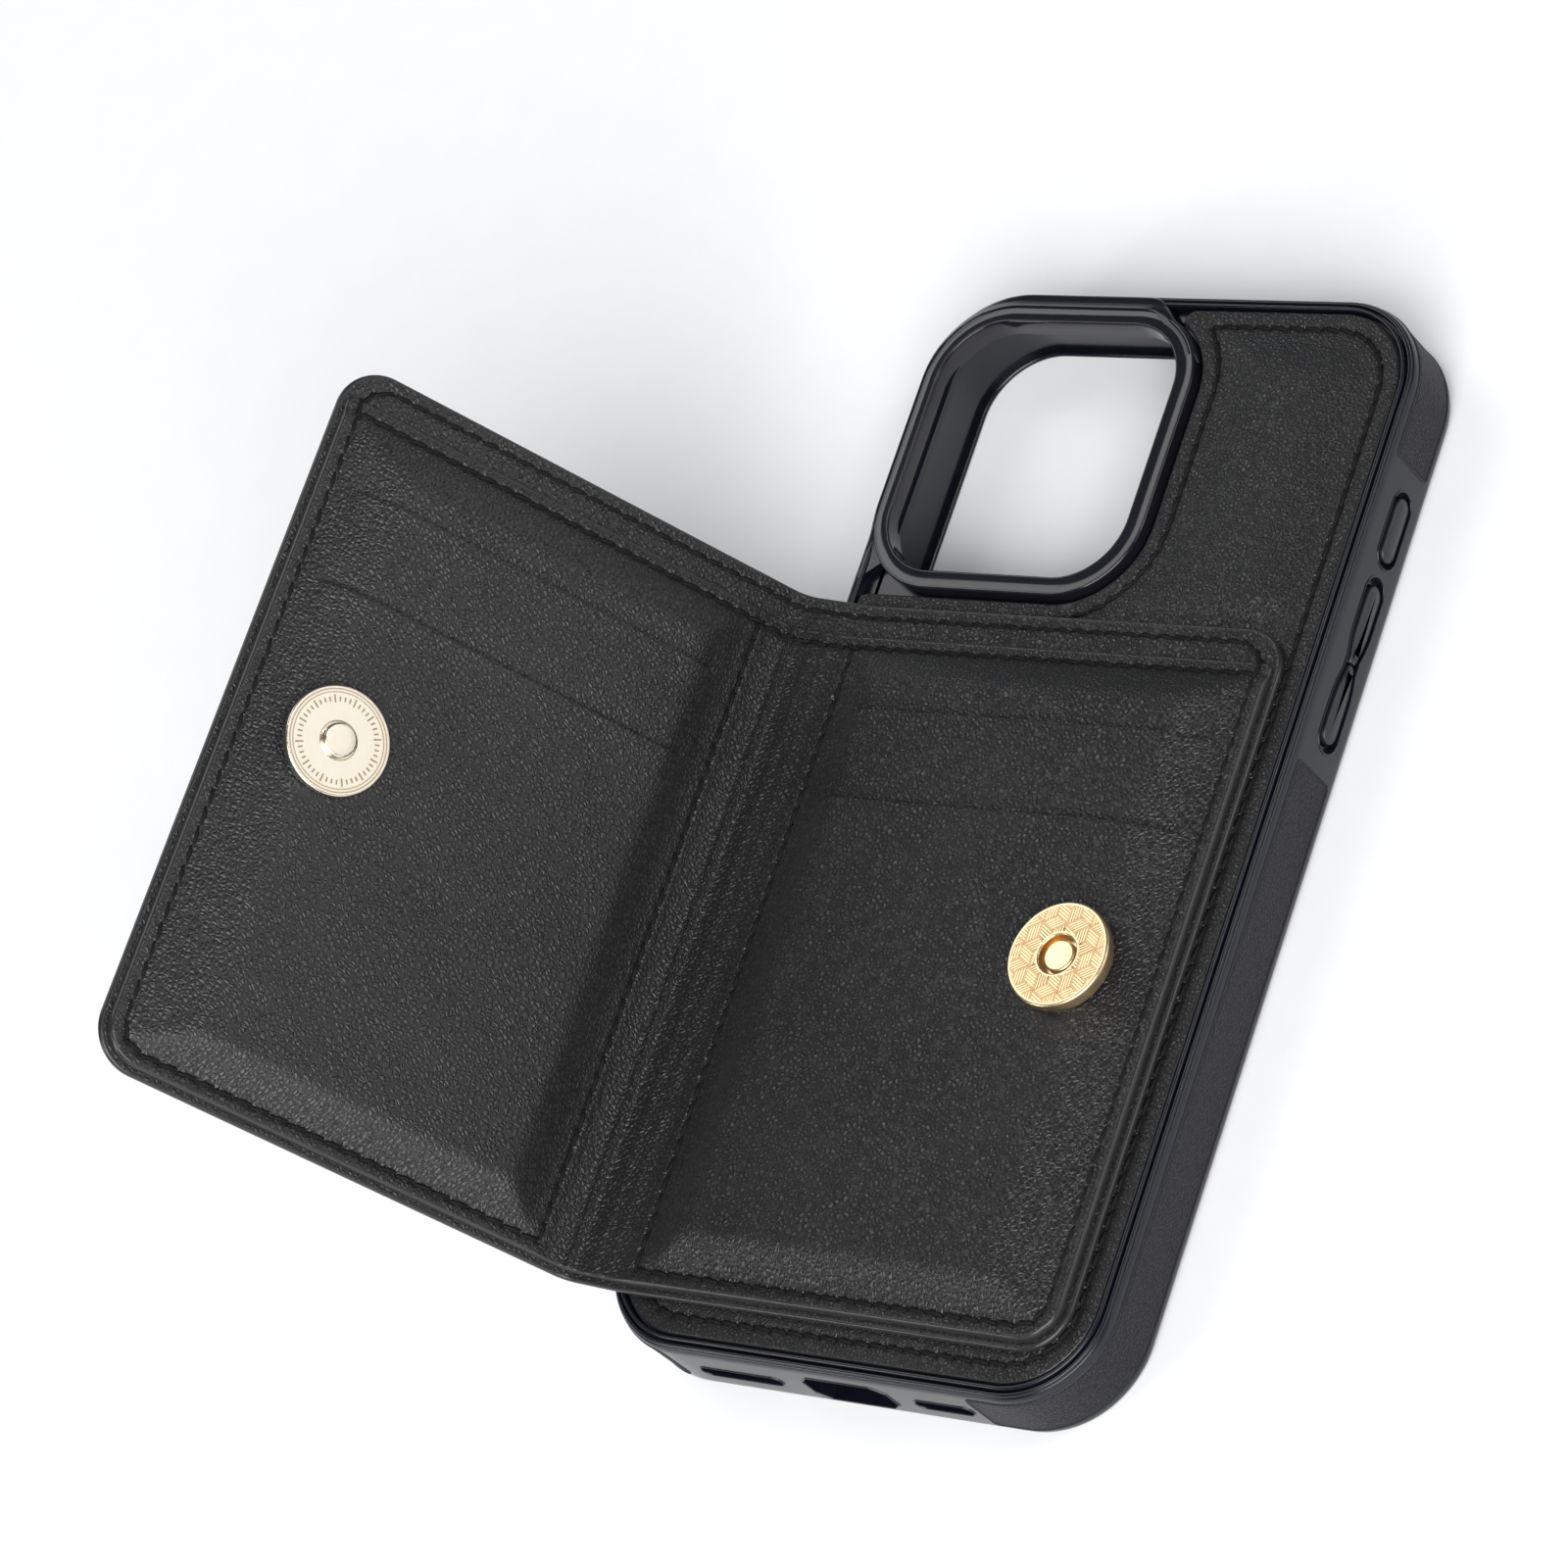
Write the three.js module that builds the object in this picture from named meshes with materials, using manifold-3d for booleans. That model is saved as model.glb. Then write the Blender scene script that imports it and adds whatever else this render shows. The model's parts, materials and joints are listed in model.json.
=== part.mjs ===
// Phone wallet case: a moulded bumper with a leather back, and a two-panel leather wallet fixed on that back.
//
// Millimetres. The origin is the middle of the flat face that the phone's back lies on.
// +Z points out of the back of the case, +Y to the camera end and +X to the volume-button side.
// The wallet stands part open: the spine strip tilts up from the base and the flap tilts up from the spine.

import * as THREE from 'three';
import { mergeVertices } from 'three/addons/utils/BufferGeometryUtils.js';
import Module from 'manifold-3d';

const wasm = await Module();
wasm.setup();

// ---------------------------------------------------------------- driving dimensions

// Case, made for a phone of 71.5 x 149.6 x 8.25.
const CASE_WIDTH = 77.4;
const CASE_LENGTH = 156;
const CASE_CORNER = 13.5;
const WALL = 2.75;
const CAVITY_DEPTH = 8.45;
const FRONT_RIM = 1.05; // how far the front rim stands out past the screen
const RIM_OVERHANG = 0.8; // how far the front rim reaches in over the screen's edge
const FOOT = { width: 1.2, height: 1.6 }; // rounding of the wall's front edge
const PLATE = 1.1; // back plate of the bumper
const LIP_TOP = 2.75; // the two ridges round the back
const RIDGES = { first: 0.6, second: 1.6, groove: 0.28, shoulder: 1.3, end: 1.95 }; // insets, depth and height
const FLOOR = -CAVITY_DEPTH - FRONT_RIM;
const LEATHER_INSET = 2.0; // from the case's outline to the edge of the back leather
const GLUE = 0.05; // gap between layers that lie flat on each other

// Camera opening.
const WINDOW = { x: -15.8, y: 53.3, size: 38, corner: 9 };
const BEZEL_WIDTH = 2.6;
const BEZEL_TOP = 4.0;
const BEZEL_EDGE = 0.4; // rounding of its edges
const SURROUND_RIM = 0.4; // strip of the bumper round the bezel
const SURROUND_END = -0.1; // the leather's top edge stops here

// Wall openings: the middle of the wall's height, and each opening along the wall.
const WALL_MIDDLE = -4.1;
const PORT = { x: 0, width: 12.8, height: 6.6, chamfer: 1.5 };
const SLOT_HEIGHT = 2.4;
const SLOTS = [{ x: -17.2, width: 12.8 }, { x: 14.6, width: 8.7 }];

// Button covers in the side walls.
const BUTTON_HEIGHT = 3.1;
const BUTTON_DEPTH = 2.1; // from the wall's outer face inwards
const BUTTON_PROUD = 0.35;
const BUTTON_GAP = 0.25;
const BUTTON_EDGE = 0.35;
const WELL_DEPTH = 0.8;
const WELL_HEIGHT = 4.5;
const ACTION = { y: 47.5, length: 9.2, well: 10.8 };
const VOLUME = { y: 28.0, length: 22.6, well: 25.0, neck: 0.95, split: 0.3, shoulder: 0.7 };
const POWER = { y: 28.0, length: 17, well: 19 };

// Grained inlays that wrap the corners of the walls.
const INLAY_DEPTH = 0.55;
const INLAY_BOTTOM = -7.7;
const INLAY_TOP = 1.2;
const INLAY_GAP = 0.05;
const SEAM_UPPER = 56;
const SEAM_LOWER = 11.9;
const SEAM_TOP_WALL = 20;
const SEAM_BOTTOM_RIGHT = 22.9;
const SEAM_BOTTOM_LEFT = -27.5;
const FAR = CASE_LENGTH; // past every edge of the case
const INLAYS = {
  side_leather_upper_right: [SEAM_TOP_WALL, FAR, SEAM_UPPER, FAR],
  side_leather_lower_right: [SEAM_BOTTOM_RIGHT, FAR, -FAR, SEAM_LOWER],
  side_leather_upper_left: [-FAR, -SEAM_TOP_WALL, SEAM_UPPER, FAR],
  side_leather_lower_left: [-FAR, SEAM_BOTTOM_LEFT, -FAR, SEAM_LOWER],
};

// Padded back: the pad and the leather over it.
const PAD = { inset: 3.2, low: PLATE + GLUE, high: 1.9 };
const BACK_LEATHER = { inset: LEATHER_INSET, low: PAD.high + GLUE, high: LIP_TOP + GLUE };

// Wallet.
const PANEL_WIDTH = 67.2; // from a fold line to the panel's outer edge
const PANEL_HEIGHT = 100.4;
const PANEL_MIDDLE = -21.5; // middle of the wallet's height
const PANEL_CORNER = 6.5;
const FOLD_X = -33.3; // fold between base and spine
const SPINE_WIDTH = 13;
const SPINE_TILT = THREE.MathUtils.degToRad(26);
const FLAP_TILT = THREE.MathUtils.degToRad(36); // further tilt of the flap on the spine
const COVER_THICKNESS = 0.8;
const FOLD_GAP = 0.5; // from a fold line to the leather on each side of it
const LEAST_CORNER = 2; // smallest corner radius of an inner layer
const FOLD_Z = LIP_TOP + 0.1 + COVER_THICKNESS / 2;

// Layers of a panel: bottom and top above the fold plane, and insets from the panel's outline,
// from its top edge and from the fold line.
const COVER = { low: -COVER_THICKNESS / 2, high: COVER_THICKNESS / 2, inset: 0, topInset: 0, fold: FOLD_GAP };
const BOARD = { low: 0.7, high: 1.2, inset: 4.2, topInset: 4.2, fold: 4.2 };
const WELT = { low: 0.7, high: 1.5, inset: 1.2, topInset: 5, fold: 1.6, width: 2.6, corner: 3 };
const INNER = { low: 1.8, high: 2.3, inset: 1.2, topInset: 5, fold: 1.6 };
const POCKET_UPPER = { low: 2.9, high: 3.4, inset: 4.2, topInset: 17.0, fold: 4.2 };
const POCKET_LOWER = { low: 4.0, high: 4.6, inset: 5.8, topInset: 30.0, fold: 5.8 };
const SPINE_LINING = { low: 0.7, high: 1.2, fold: 1.0 };

// Magnetic snap: its middle on a panel, and the sizes of its two halves.
const SNAP = { u: 52.4, v: 0.2, seat: 4.9, radius: 7.3 };
const SOCKET = { top: 6.65, shell: 0.4, edge: 0.3, hole: 2.6 };
const MAGNET = { inner: 3.2, outer: 6.5, low: 5.25, high: 6.1, edge: 0.1 };
const RIVET = { flange: 0.2, radius: 2.0, top: 5.6, edge: 0.1 };
const STUD = { top: 5.85, hole: 2.5, post: 2.2, postTop: 7.1, edge: 0.25 };

// ---------------------------------------------------------------- materials

const LOOKS = {
  bumper: { color: 0x24262c, roughness: 0.45, metalness: 0 },
  bezel: { color: 0x0d0e12, roughness: 0.15, metalness: 0 },
  leather: { color: 0x2b2a2d, roughness: 0.6, metalness: 0 },
  lining: { color: 0x302e31, roughness: 0.65, metalness: 0 },
  inlay: { color: 0x26272c, roughness: 0.7, metalness: 0 },
  board: { color: 0x6a6258, roughness: 0.9, metalness: 0 },
  foam: { color: 0x33363a, roughness: 0.95, metalness: 0 },
  gold: { color: 0xe8cf9a, roughness: 0.25, metalness: 1 },
  paleGold: { color: 0xece2cc, roughness: 0.28, metalness: 1 },
  magnet: { color: 0x55575c, roughness: 0.4, metalness: 0.8 },
};

function pieceMesh(name, look, geometry) {
  const mesh = new THREE.Mesh(geometry, new THREE.MeshStandardMaterial(LOOKS[look]));
  mesh.name = name;
  return mesh;
}

// ---------------------------------------------------------------- outlines

function roundedRect(width, length, radius, x = 0, y = 0) {
  const shape = new THREE.Shape();
  const right = x + width / 2 - radius;
  const left = x - width / 2 + radius;
  const top = y + length / 2 - radius;
  const bottom = y - length / 2 + radius;
  const quarter = Math.PI / 2;
  shape.absarc(right, bottom, radius, -quarter, 0);
  shape.absarc(right, top, radius, 0, quarter);
  shape.absarc(left, top, radius, quarter, 2 * quarter);
  shape.absarc(left, bottom, radius, 2 * quarter, 3 * quarter);
  return shape;
}

// The case's outline, moved inwards by a distance.
function caseOutline(inset) {
  return roundedRect(CASE_WIDTH - 2 * inset, CASE_LENGTH - 2 * inset, CASE_CORNER - inset);
}

function rectangle(left, right, bottom, top) {
  const shape = new THREE.Shape();
  shape.moveTo(left, bottom);
  shape.lineTo(right, bottom);
  shape.lineTo(right, top);
  shape.lineTo(left, top);
  return shape;
}

// A slot with half-round ends.
function stadium(length, height) {
  const shape = new THREE.Shape();
  const reach = (length - height) / 2;
  shape.absarc(reach, 0, height / 2, -Math.PI / 2, Math.PI / 2);
  shape.absarc(-reach, 0, height / 2, Math.PI / 2, 1.5 * Math.PI);
  return shape;
}

// A panel's outline from u0 to u1 off the fold, with its two outer corners rounded. side is +1 or -1.
function panelOutline(side, u0, u1, bottom, top, radius) {
  const shape = new THREE.Shape();
  const quarter = Math.PI / 2;
  const clockwise = side < 0;
  const outward = clockwise ? -Math.PI : 0;
  const centre = side * (u1 - radius);
  shape.moveTo(side * u0, bottom);
  shape.lineTo(centre, bottom);
  shape.absarc(centre, bottom + radius, radius, -quarter, outward, clockwise);
  shape.absarc(centre, top - radius, radius, outward, outward + side * quarter, clockwise);
  shape.lineTo(side * u0, top);
  return shape;
}

function mirrored(shape) {
  return new THREE.Shape(shape.getPoints(6).map((point) => new THREE.Vector2(-point.x, point.y)));
}

// Points [inset, z] of a quarter ellipse round [inset, z] from one angle to another, in degrees.
function quarterArc(inset, z, width, height, from, to) {
  const steps = 3;
  const points = [];
  for (let step = 0; step <= steps; step += 1) {
    const angle = THREE.MathUtils.degToRad(from + (to - from) * step / steps);
    points.push([inset + width * Math.cos(angle), z + height * Math.sin(angle)]);
  }
  return points;
}

// ---------------------------------------------------------------- bodies

// A plate with the given outline from z = low to z = high, its edges rounded by bevel.
function plate(shape, low, high, bevel = 0, curveSegments = 6) {
  const geometry = new THREE.ExtrudeGeometry(shape, {
    depth: high - low - 2 * bevel,
    bevelEnabled: bevel > 0,
    bevelThickness: bevel,
    bevelSize: bevel,
    bevelOffset: -bevel,
    bevelSegments: 2,
    curveSegments,
  });
  return geometry.translate(0, 0, low + bevel);
}

// A body turned about +Z from a profile of [radius, z].
function turned(profile) {
  const points = profile.map(([radius, z]) => new THREE.Vector2(radius, z));
  return new THREE.LatheGeometry(points, 32).rotateX(Math.PI / 2);
}

// Turns a body drawn along +Z so that it points out of a wall: x runs along the wall, y up the wall.
function intoWall(geometry, wall) {
  geometry.rotateX(Math.PI / 2);
  if (wall === 'right') geometry.rotateZ(Math.PI / 2);
  if (wall === 'left') geometry.rotateZ(-Math.PI / 2);
  return geometry;
}

// A ring swept round the case's outline. The profile is a closed loop of [inset, z], counter-clockwise.
function sweptRing(profile) {
  const cornerSegments = 8;
  const rings = [];
  for (let corner = 0; corner < 4; corner += 1) {
    const sideX = corner === 0 || corner === 3 ? 1 : -1;
    const sideY = corner < 2 ? 1 : -1;
    const centreX = sideX * (CASE_WIDTH / 2 - CASE_CORNER);
    const centreY = sideY * (CASE_LENGTH / 2 - CASE_CORNER);
    for (let step = 0; step <= cornerSegments; step += 1) {
      const angle = (corner + step / cornerSegments) * Math.PI / 2;
      const normal = new THREE.Vector2(Math.cos(angle), Math.sin(angle));
      rings.push(profile.map(([inset, z]) => [
        centreX + normal.x * (CASE_CORNER - inset),
        centreY + normal.y * (CASE_CORNER - inset),
        z,
      ]));
    }
  }
  const positions = rings.flat(2);
  const index = [];
  const count = profile.length;
  for (let i = 0; i < rings.length; i += 1) {
    const next = (i + 1) % rings.length;
    for (let j = 0; j < count; j += 1) {
      const up = (j + 1) % count;
      index.push(i * count + j, next * count + j, next * count + up);
      index.push(i * count + j, next * count + up, i * count + up);
    }
  }
  const geometry = new THREE.BufferGeometry();
  geometry.setAttribute('position', new THREE.Float32BufferAttribute(positions, 3));
  geometry.setIndex(index);
  return geometry;
}

function toSolid(geometry) {
  const bare = geometry.clone();
  bare.deleteAttribute('normal');
  bare.deleteAttribute('uv');
  const merged = mergeVertices(bare, 1e-4);
  return new wasm.Manifold(new wasm.Mesh({
    numProp: 3,
    vertProperties: new Float32Array(merged.attributes.position.array),
    triVerts: new Uint32Array(merged.index.array),
  }));
}

function toGeometry(solid) {
  const mesh = solid.getMesh();
  const geometry = new THREE.BufferGeometry();
  geometry.setAttribute('position', new THREE.Float32BufferAttribute(mesh.vertProperties, 3));
  geometry.setIndex(Array.from(mesh.triVerts));
  geometry.computeVertexNormals();
  return geometry;
}

// ---------------------------------------------------------------- case

// Everything round the camera that the leather leaves free, grown by a distance.
function cameraZone(grow, low, high) {
  const size = WINDOW.size + 2 * (BEZEL_WIDTH + SURROUND_RIM + grow);
  const corner = WINDOW.corner + BEZEL_WIDTH + SURROUND_RIM + grow;
  const round = toSolid(plate(roundedRect(size, size, corner, WINDOW.x, WINDOW.y), low, high));
  const aboveRing = rectangle(-CASE_WIDTH, SURROUND_END + grow, WINDOW.y, CASE_LENGTH);
  return round.add(toSolid(plate(aboveRing, low, high)));
}

// A band of the wall's skin inside the given rectangle. The recess for it is larger all round and open outwards.
function wallBand([left, right, bottom, top], asRecess) {
  const grow = asRecess ? INLAY_GAP : 0;
  const outerInset = asRecess ? -1 : 0;
  const low = INLAY_BOTTOM - grow;
  const high = INLAY_TOP + grow;
  const outer = toSolid(plate(caseOutline(outerInset), low, high, 0, 8));
  const core = toSolid(plate(caseOutline(INLAY_DEPTH + grow), low - 1, high + 1, 0, 8));
  const window = rectangle(left - grow, right + grow, bottom - grow, top + grow);
  return outer.subtract(core).intersect(toSolid(plate(window, low, high)));
}

// One lobe of the volume cover, from the neck at x = 0 outwards; grow widens it all round.
function volumeLobe(grow = 0) {
  const end = VOLUME.length / 2 - BUTTON_HEIGHT / 2;
  const shoulder = end * VOLUME.shoulder;
  const half = BUTTON_HEIGHT / 2 + grow;
  const neck = VOLUME.neck + grow;
  const start = VOLUME.split / 2 - grow;
  const shape = new THREE.Shape();
  shape.moveTo(start, -neck);
  shape.quadraticCurveTo(shoulder / 2, -half, shoulder, -half);
  shape.absarc(end, 0, half, -Math.PI / 2, Math.PI / 2);
  shape.lineTo(shoulder, half);
  shape.quadraticCurveTo(shoulder / 2, half, start, neck);
  return shape;
}

// Recess and hole in a wall for one button cover.
function buttonCut(wall, y, wellLength, holeShapes) {
  const face = CASE_WIDTH / 2;
  const along = wall === 'right' ? y : -y;
  let cut = toSolid(intoWall(
    plate(stadium(wellLength, WELL_HEIGHT), face - WELL_DEPTH, face + 1).translate(along, WALL_MIDDLE, 0),
    wall,
  ));
  for (const shape of holeShapes) {
    const hole = plate(shape, face - WALL - 1, face + 1).translate(along, WALL_MIDDLE, 0);
    cut = cut.add(toSolid(intoWall(hole, wall)));
  }
  return cut;
}

function portCut() {
  const { width, height, chamfer } = PORT;
  const shape = new THREE.Shape();
  shape.moveTo(-width / 2 + chamfer, -height / 2);
  shape.lineTo(width / 2 - chamfer, -height / 2);
  shape.lineTo(width / 2, -height / 2 + chamfer);
  shape.lineTo(width / 2, height / 2 - chamfer);
  shape.lineTo(width / 2 - chamfer, height / 2);
  shape.lineTo(-width / 2 + chamfer, height / 2);
  shape.lineTo(-width / 2, height / 2 - chamfer);
  shape.lineTo(-width / 2, -height / 2 + chamfer);
  return bottomWallCut(shape, PORT.x);
}

function bottomWallCut(shape, x) {
  const face = CASE_LENGTH / 2;
  const cut = plate(shape, face - WALL - 1, face + 1).translate(x, WALL_MIDDLE, 0);
  return toSolid(intoWall(cut, 'bottom'));
}

// Section of the wall: a rounded foot, a flat side, two ridges with a groove between, and the overhanging front rim.
function wallProfile() {
  const grooveSteps = 4;
  const profile = quarterArc(FOOT.width, FLOOR + FOOT.height, FOOT.width, FOOT.height, 270, 180);
  profile.push(...quarterArc(RIDGES.first, LIP_TOP - RIDGES.shoulder, RIDGES.first, RIDGES.shoulder, 180, 90));
  for (let step = 1; step <= grooveSteps; step += 1) {
    const share = step / grooveSteps;
    const drop = RIDGES.groove * Math.sin(share * Math.PI) ** 2;
    profile.push([THREE.MathUtils.lerp(RIDGES.first, RIDGES.second, share), LIP_TOP - drop]);
  }
  profile.push([RIDGES.end, LIP_TOP - RIDGES.groove]);
  profile.push([RIDGES.end, PLATE / 2], [WALL, PLATE / 2], [WALL, -CAVITY_DEPTH]);
  profile.push([WALL + RIM_OVERHANG, -CAVITY_DEPTH - 0.2], [WALL + RIM_OVERHANG, FLOOR + 0.4]);
  profile.push([WALL + RIM_OVERHANG - 0.4, FLOOR]);
  return profile;
}

function bumperFrame() {
  const insideWall = (RIDGES.first + RIDGES.end) / 2;
  let solid = toSolid(sweptRing(wallProfile()));
  solid = solid.add(toSolid(plate(caseOutline(insideWall), 0, PLATE, 0, 8)));
  const insideLip = toSolid(plate(caseOutline(insideWall), 0, LIP_TOP, 0, 8));
  solid = solid.add(cameraZone(0, PLATE / 2, LIP_TOP - GLUE).intersect(insideLip));

  const bezelSize = WINDOW.size + 2 * BEZEL_WIDTH + 2 * GLUE;
  const bezelCorner = WINDOW.corner + BEZEL_WIDTH + GLUE;
  const bezelHole = roundedRect(bezelSize, bezelSize, bezelCorner, WINDOW.x, WINDOW.y);
  solid = solid.subtract(toSolid(plate(bezelHole, -1, BEZEL_TOP)));

  for (const area of Object.values(INLAYS)) {
    solid = solid.subtract(wallBand(area, true));
  }
  solid = solid.subtract(portCut());
  for (const slot of SLOTS) {
    solid = solid.subtract(bottomWallCut(stadium(slot.width, SLOT_HEIGHT), slot.x));
  }
  const actionHole = stadium(ACTION.length + 2 * BUTTON_GAP, BUTTON_HEIGHT + 2 * BUTTON_GAP);
  const powerHole = stadium(POWER.length + 2 * BUTTON_GAP, BUTTON_HEIGHT + 2 * BUTTON_GAP);
  const lobe = volumeLobe(BUTTON_GAP);
  solid = solid.subtract(buttonCut('right', ACTION.y, ACTION.well, [actionHole]));
  solid = solid.subtract(buttonCut('right', VOLUME.y, VOLUME.well, [lobe, mirrored(lobe)]));
  solid = solid.subtract(buttonCut('left', POWER.y, POWER.well, [powerHole]));
  return toGeometry(solid);
}

function cameraBezel() {
  const outerSize = WINDOW.size + 2 * BEZEL_WIDTH;
  const shape = roundedRect(outerSize, outerSize, WINDOW.corner + BEZEL_WIDTH, WINDOW.x, WINDOW.y);
  shape.holes.push(roundedRect(WINDOW.size, WINDOW.size, WINDOW.corner, WINDOW.x, WINDOW.y));
  return plate(shape, 0, BEZEL_TOP, BEZEL_EDGE, 8);
}

// A layer of the padded back: the case's outline moved in, less the camera zone.
function backLayer({ inset, low, high }) {
  const sheet = toSolid(plate(caseOutline(inset), low, high, 0, 8));
  return toGeometry(sheet.subtract(cameraZone(GLUE + inset - LEATHER_INSET, low - 1, high + 1)));
}

// A button cover drawn along +Z, its outer end bulging past the wall's face.
function buttonCover(shape, wall, y) {
  const face = CASE_WIDTH / 2;
  const cover = plate(shape, face - BUTTON_DEPTH, face + BUTTON_PROUD, BUTTON_EDGE);
  return intoWall(cover.translate(wall === 'right' ? y : -y, WALL_MIDDLE, 0), wall);
}

// ---------------------------------------------------------------- wallet panels

function panelLayer(side, layer) {
  const half = PANEL_HEIGHT / 2;
  const radius = Math.max(PANEL_CORNER - layer.inset, LEAST_CORNER);
  const outer = PANEL_WIDTH - layer.inset;
  const outline = panelOutline(side, layer.fold, outer, -half + layer.inset, half - layer.topInset, radius);
  return plate(outline, layer.low, layer.high);
}

// The stitched border under the inner leather: it runs down both sides and along the bottom.
function panelWelt(side) {
  const half = PANEL_HEIGHT / 2;
  const inset = WELT.inset + WELT.width;
  const fold = WELT.fold + WELT.width;
  const hollow = panelOutline(side, fold, PANEL_WIDTH - inset, -half + inset, half, WELT.corner);
  return toGeometry(toSolid(panelLayer(side, WELT)).subtract(toSolid(plate(hollow, WELT.low - 1, WELT.high + 1))));
}

function ring(inner, outer, low, high, edge) {
  return turned([
    [inner, low], [outer, low], [outer, high - edge], [outer - edge, high], [inner, high], [inner, low],
  ]);
}

// Thin pressed cup with a hole in its middle.
function socketShell() {
  const { radius, seat } = SNAP;
  const inner = radius - SOCKET.shell;
  const roof = SOCKET.top - SOCKET.shell;
  return turned([
    [inner, seat], [radius, seat], [radius, SOCKET.top - SOCKET.edge], [radius - SOCKET.edge, SOCKET.top],
    [SOCKET.hole, SOCKET.top], [SOCKET.hole, roof], [inner, roof], [inner, seat],
  ]);
}

function socketRivet() {
  const { seat } = SNAP;
  const flangeTop = seat + RIVET.flange;
  return turned([
    [0, seat], [MAGNET.outer, seat], [MAGNET.outer, flangeTop], [RIVET.radius, flangeTop],
    [RIVET.radius, RIVET.top - RIVET.edge], [RIVET.radius - RIVET.edge, RIVET.top], [0, RIVET.top],
  ]);
}

function studPost() {
  return turned([
    [0, SNAP.seat], [STUD.post, SNAP.seat], [STUD.post, STUD.postTop - STUD.edge],
    [STUD.post - STUD.edge, STUD.postTop], [0, STUD.postTop],
  ]);
}

// The leather layers that both panels share. side is +1 for the base and -1 for the flap.
function walletPanel(name, side) {
  const panel = new THREE.Group();
  panel.add(pieceMesh(`${name}_cover`, 'leather', panelLayer(side, COVER)));
  panel.add(pieceMesh(`${name}_board`, 'board', panelLayer(side, BOARD)));
  panel.add(pieceMesh(`${name}_edge_welt`, 'lining', panelWelt(side)));
  panel.add(pieceMesh(`${name}_inner_panel`, 'lining', panelLayer(side, INNER)));
  panel.add(pieceMesh(`${name}_pocket_upper`, 'leather', panelLayer(side, POCKET_UPPER)));
  panel.add(pieceMesh(`${name}_pocket_lower`, 'leather', panelLayer(side, POCKET_LOWER)));
  return panel;
}

function placeSnap(group, side, pieces) {
  for (const piece of pieces) {
    piece.position.set(side * SNAP.u, SNAP.v, 0);
    group.add(piece);
  }
}

function baseGroup() {
  const base = walletPanel('base', 1);
  placeSnap(base, 1, [
    pieceMesh('snap_socket_shell', 'gold', socketShell()),
    pieceMesh('snap_socket_magnet', 'magnet', ring(MAGNET.inner, MAGNET.outer, MAGNET.low, MAGNET.high, MAGNET.edge)),
    pieceMesh('snap_socket_rivet', 'gold', socketRivet()),
  ]);
  base.position.set(FOLD_X, PANEL_MIDDLE, FOLD_Z);
  return base;
}

function flapGroup() {
  const flap = walletPanel('flap', -1);
  placeSnap(flap, -1, [
    pieceMesh('snap_stud_plate', 'paleGold', ring(STUD.hole, SNAP.radius, SNAP.seat, STUD.top, STUD.edge)),
    pieceMesh('snap_stud_post', 'paleGold', studPost()),
  ]);
  flap.position.set(-SPINE_WIDTH, 0, 0);
  flap.rotation.y = FLAP_TILT;
  return flap;
}

function spineGroup() {
  const spine = new THREE.Group();
  const half = PANEL_HEIGHT / 2;
  const cover = rectangle(-SPINE_WIDTH + COVER.fold, -COVER.fold, -half, half);
  const gap = SPINE_LINING.fold;
  const lining = rectangle(-SPINE_WIDTH + gap, -gap, -half + INNER.inset, half - INNER.topInset);
  spine.add(pieceMesh('spine_cover', 'leather', plate(cover, COVER.low, COVER.high)));
  spine.add(pieceMesh('spine_lining', 'lining', plate(lining, SPINE_LINING.low, SPINE_LINING.high)));
  spine.add(flapGroup());
  spine.position.set(FOLD_X, PANEL_MIDDLE, FOLD_Z);
  spine.rotation.y = SPINE_TILT;
  return spine;
}

// ---------------------------------------------------------------- assembly

const walletCase = new THREE.Group();
walletCase.name = 'phone_wallet_case';

walletCase.add(pieceMesh('bumper_frame', 'bumper', bumperFrame()));
walletCase.add(pieceMesh('camera_bezel', 'bezel', cameraBezel()));
walletCase.add(pieceMesh('back_pad', 'foam', backLayer(PAD)));
walletCase.add(pieceMesh('back_leather', 'leather', backLayer(BACK_LEATHER)));
for (const [name, area] of Object.entries(INLAYS)) {
  walletCase.add(pieceMesh(name, 'inlay', toGeometry(wallBand(area, false))));
}
const actionShape = stadium(ACTION.length, BUTTON_HEIGHT);
const powerShape = stadium(POWER.length, BUTTON_HEIGHT);
walletCase.add(pieceMesh('action_button', 'bumper', buttonCover(actionShape, 'right', ACTION.y)));
walletCase.add(pieceMesh('volume_up_button', 'bumper', buttonCover(volumeLobe(), 'right', VOLUME.y)));
walletCase.add(pieceMesh('volume_down_button', 'bumper', buttonCover(mirrored(volumeLobe()), 'right', VOLUME.y)));
walletCase.add(pieceMesh('power_button', 'bumper', buttonCover(powerShape, 'left', POWER.y)));
walletCase.add(baseGroup());
walletCase.add(spineGroup());

export default walletCase;
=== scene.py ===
"""Looks of the phone wallet case: moulded bumper, stitched leather back and a padded two-panel wallet.

Sizes are in millimetres in the row frame. Leather pieces are drawn flat, as (across, along, height), and then
laid along the wallet's bent path, on the case's back or round the case's wall.
"""
import json
import math

import bpy
import numpy as np
from mathutils import Matrix, Vector
from mathutils.geometry import delaunay_2d_cdt
from mathutils.kdtree import KDTree


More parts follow.
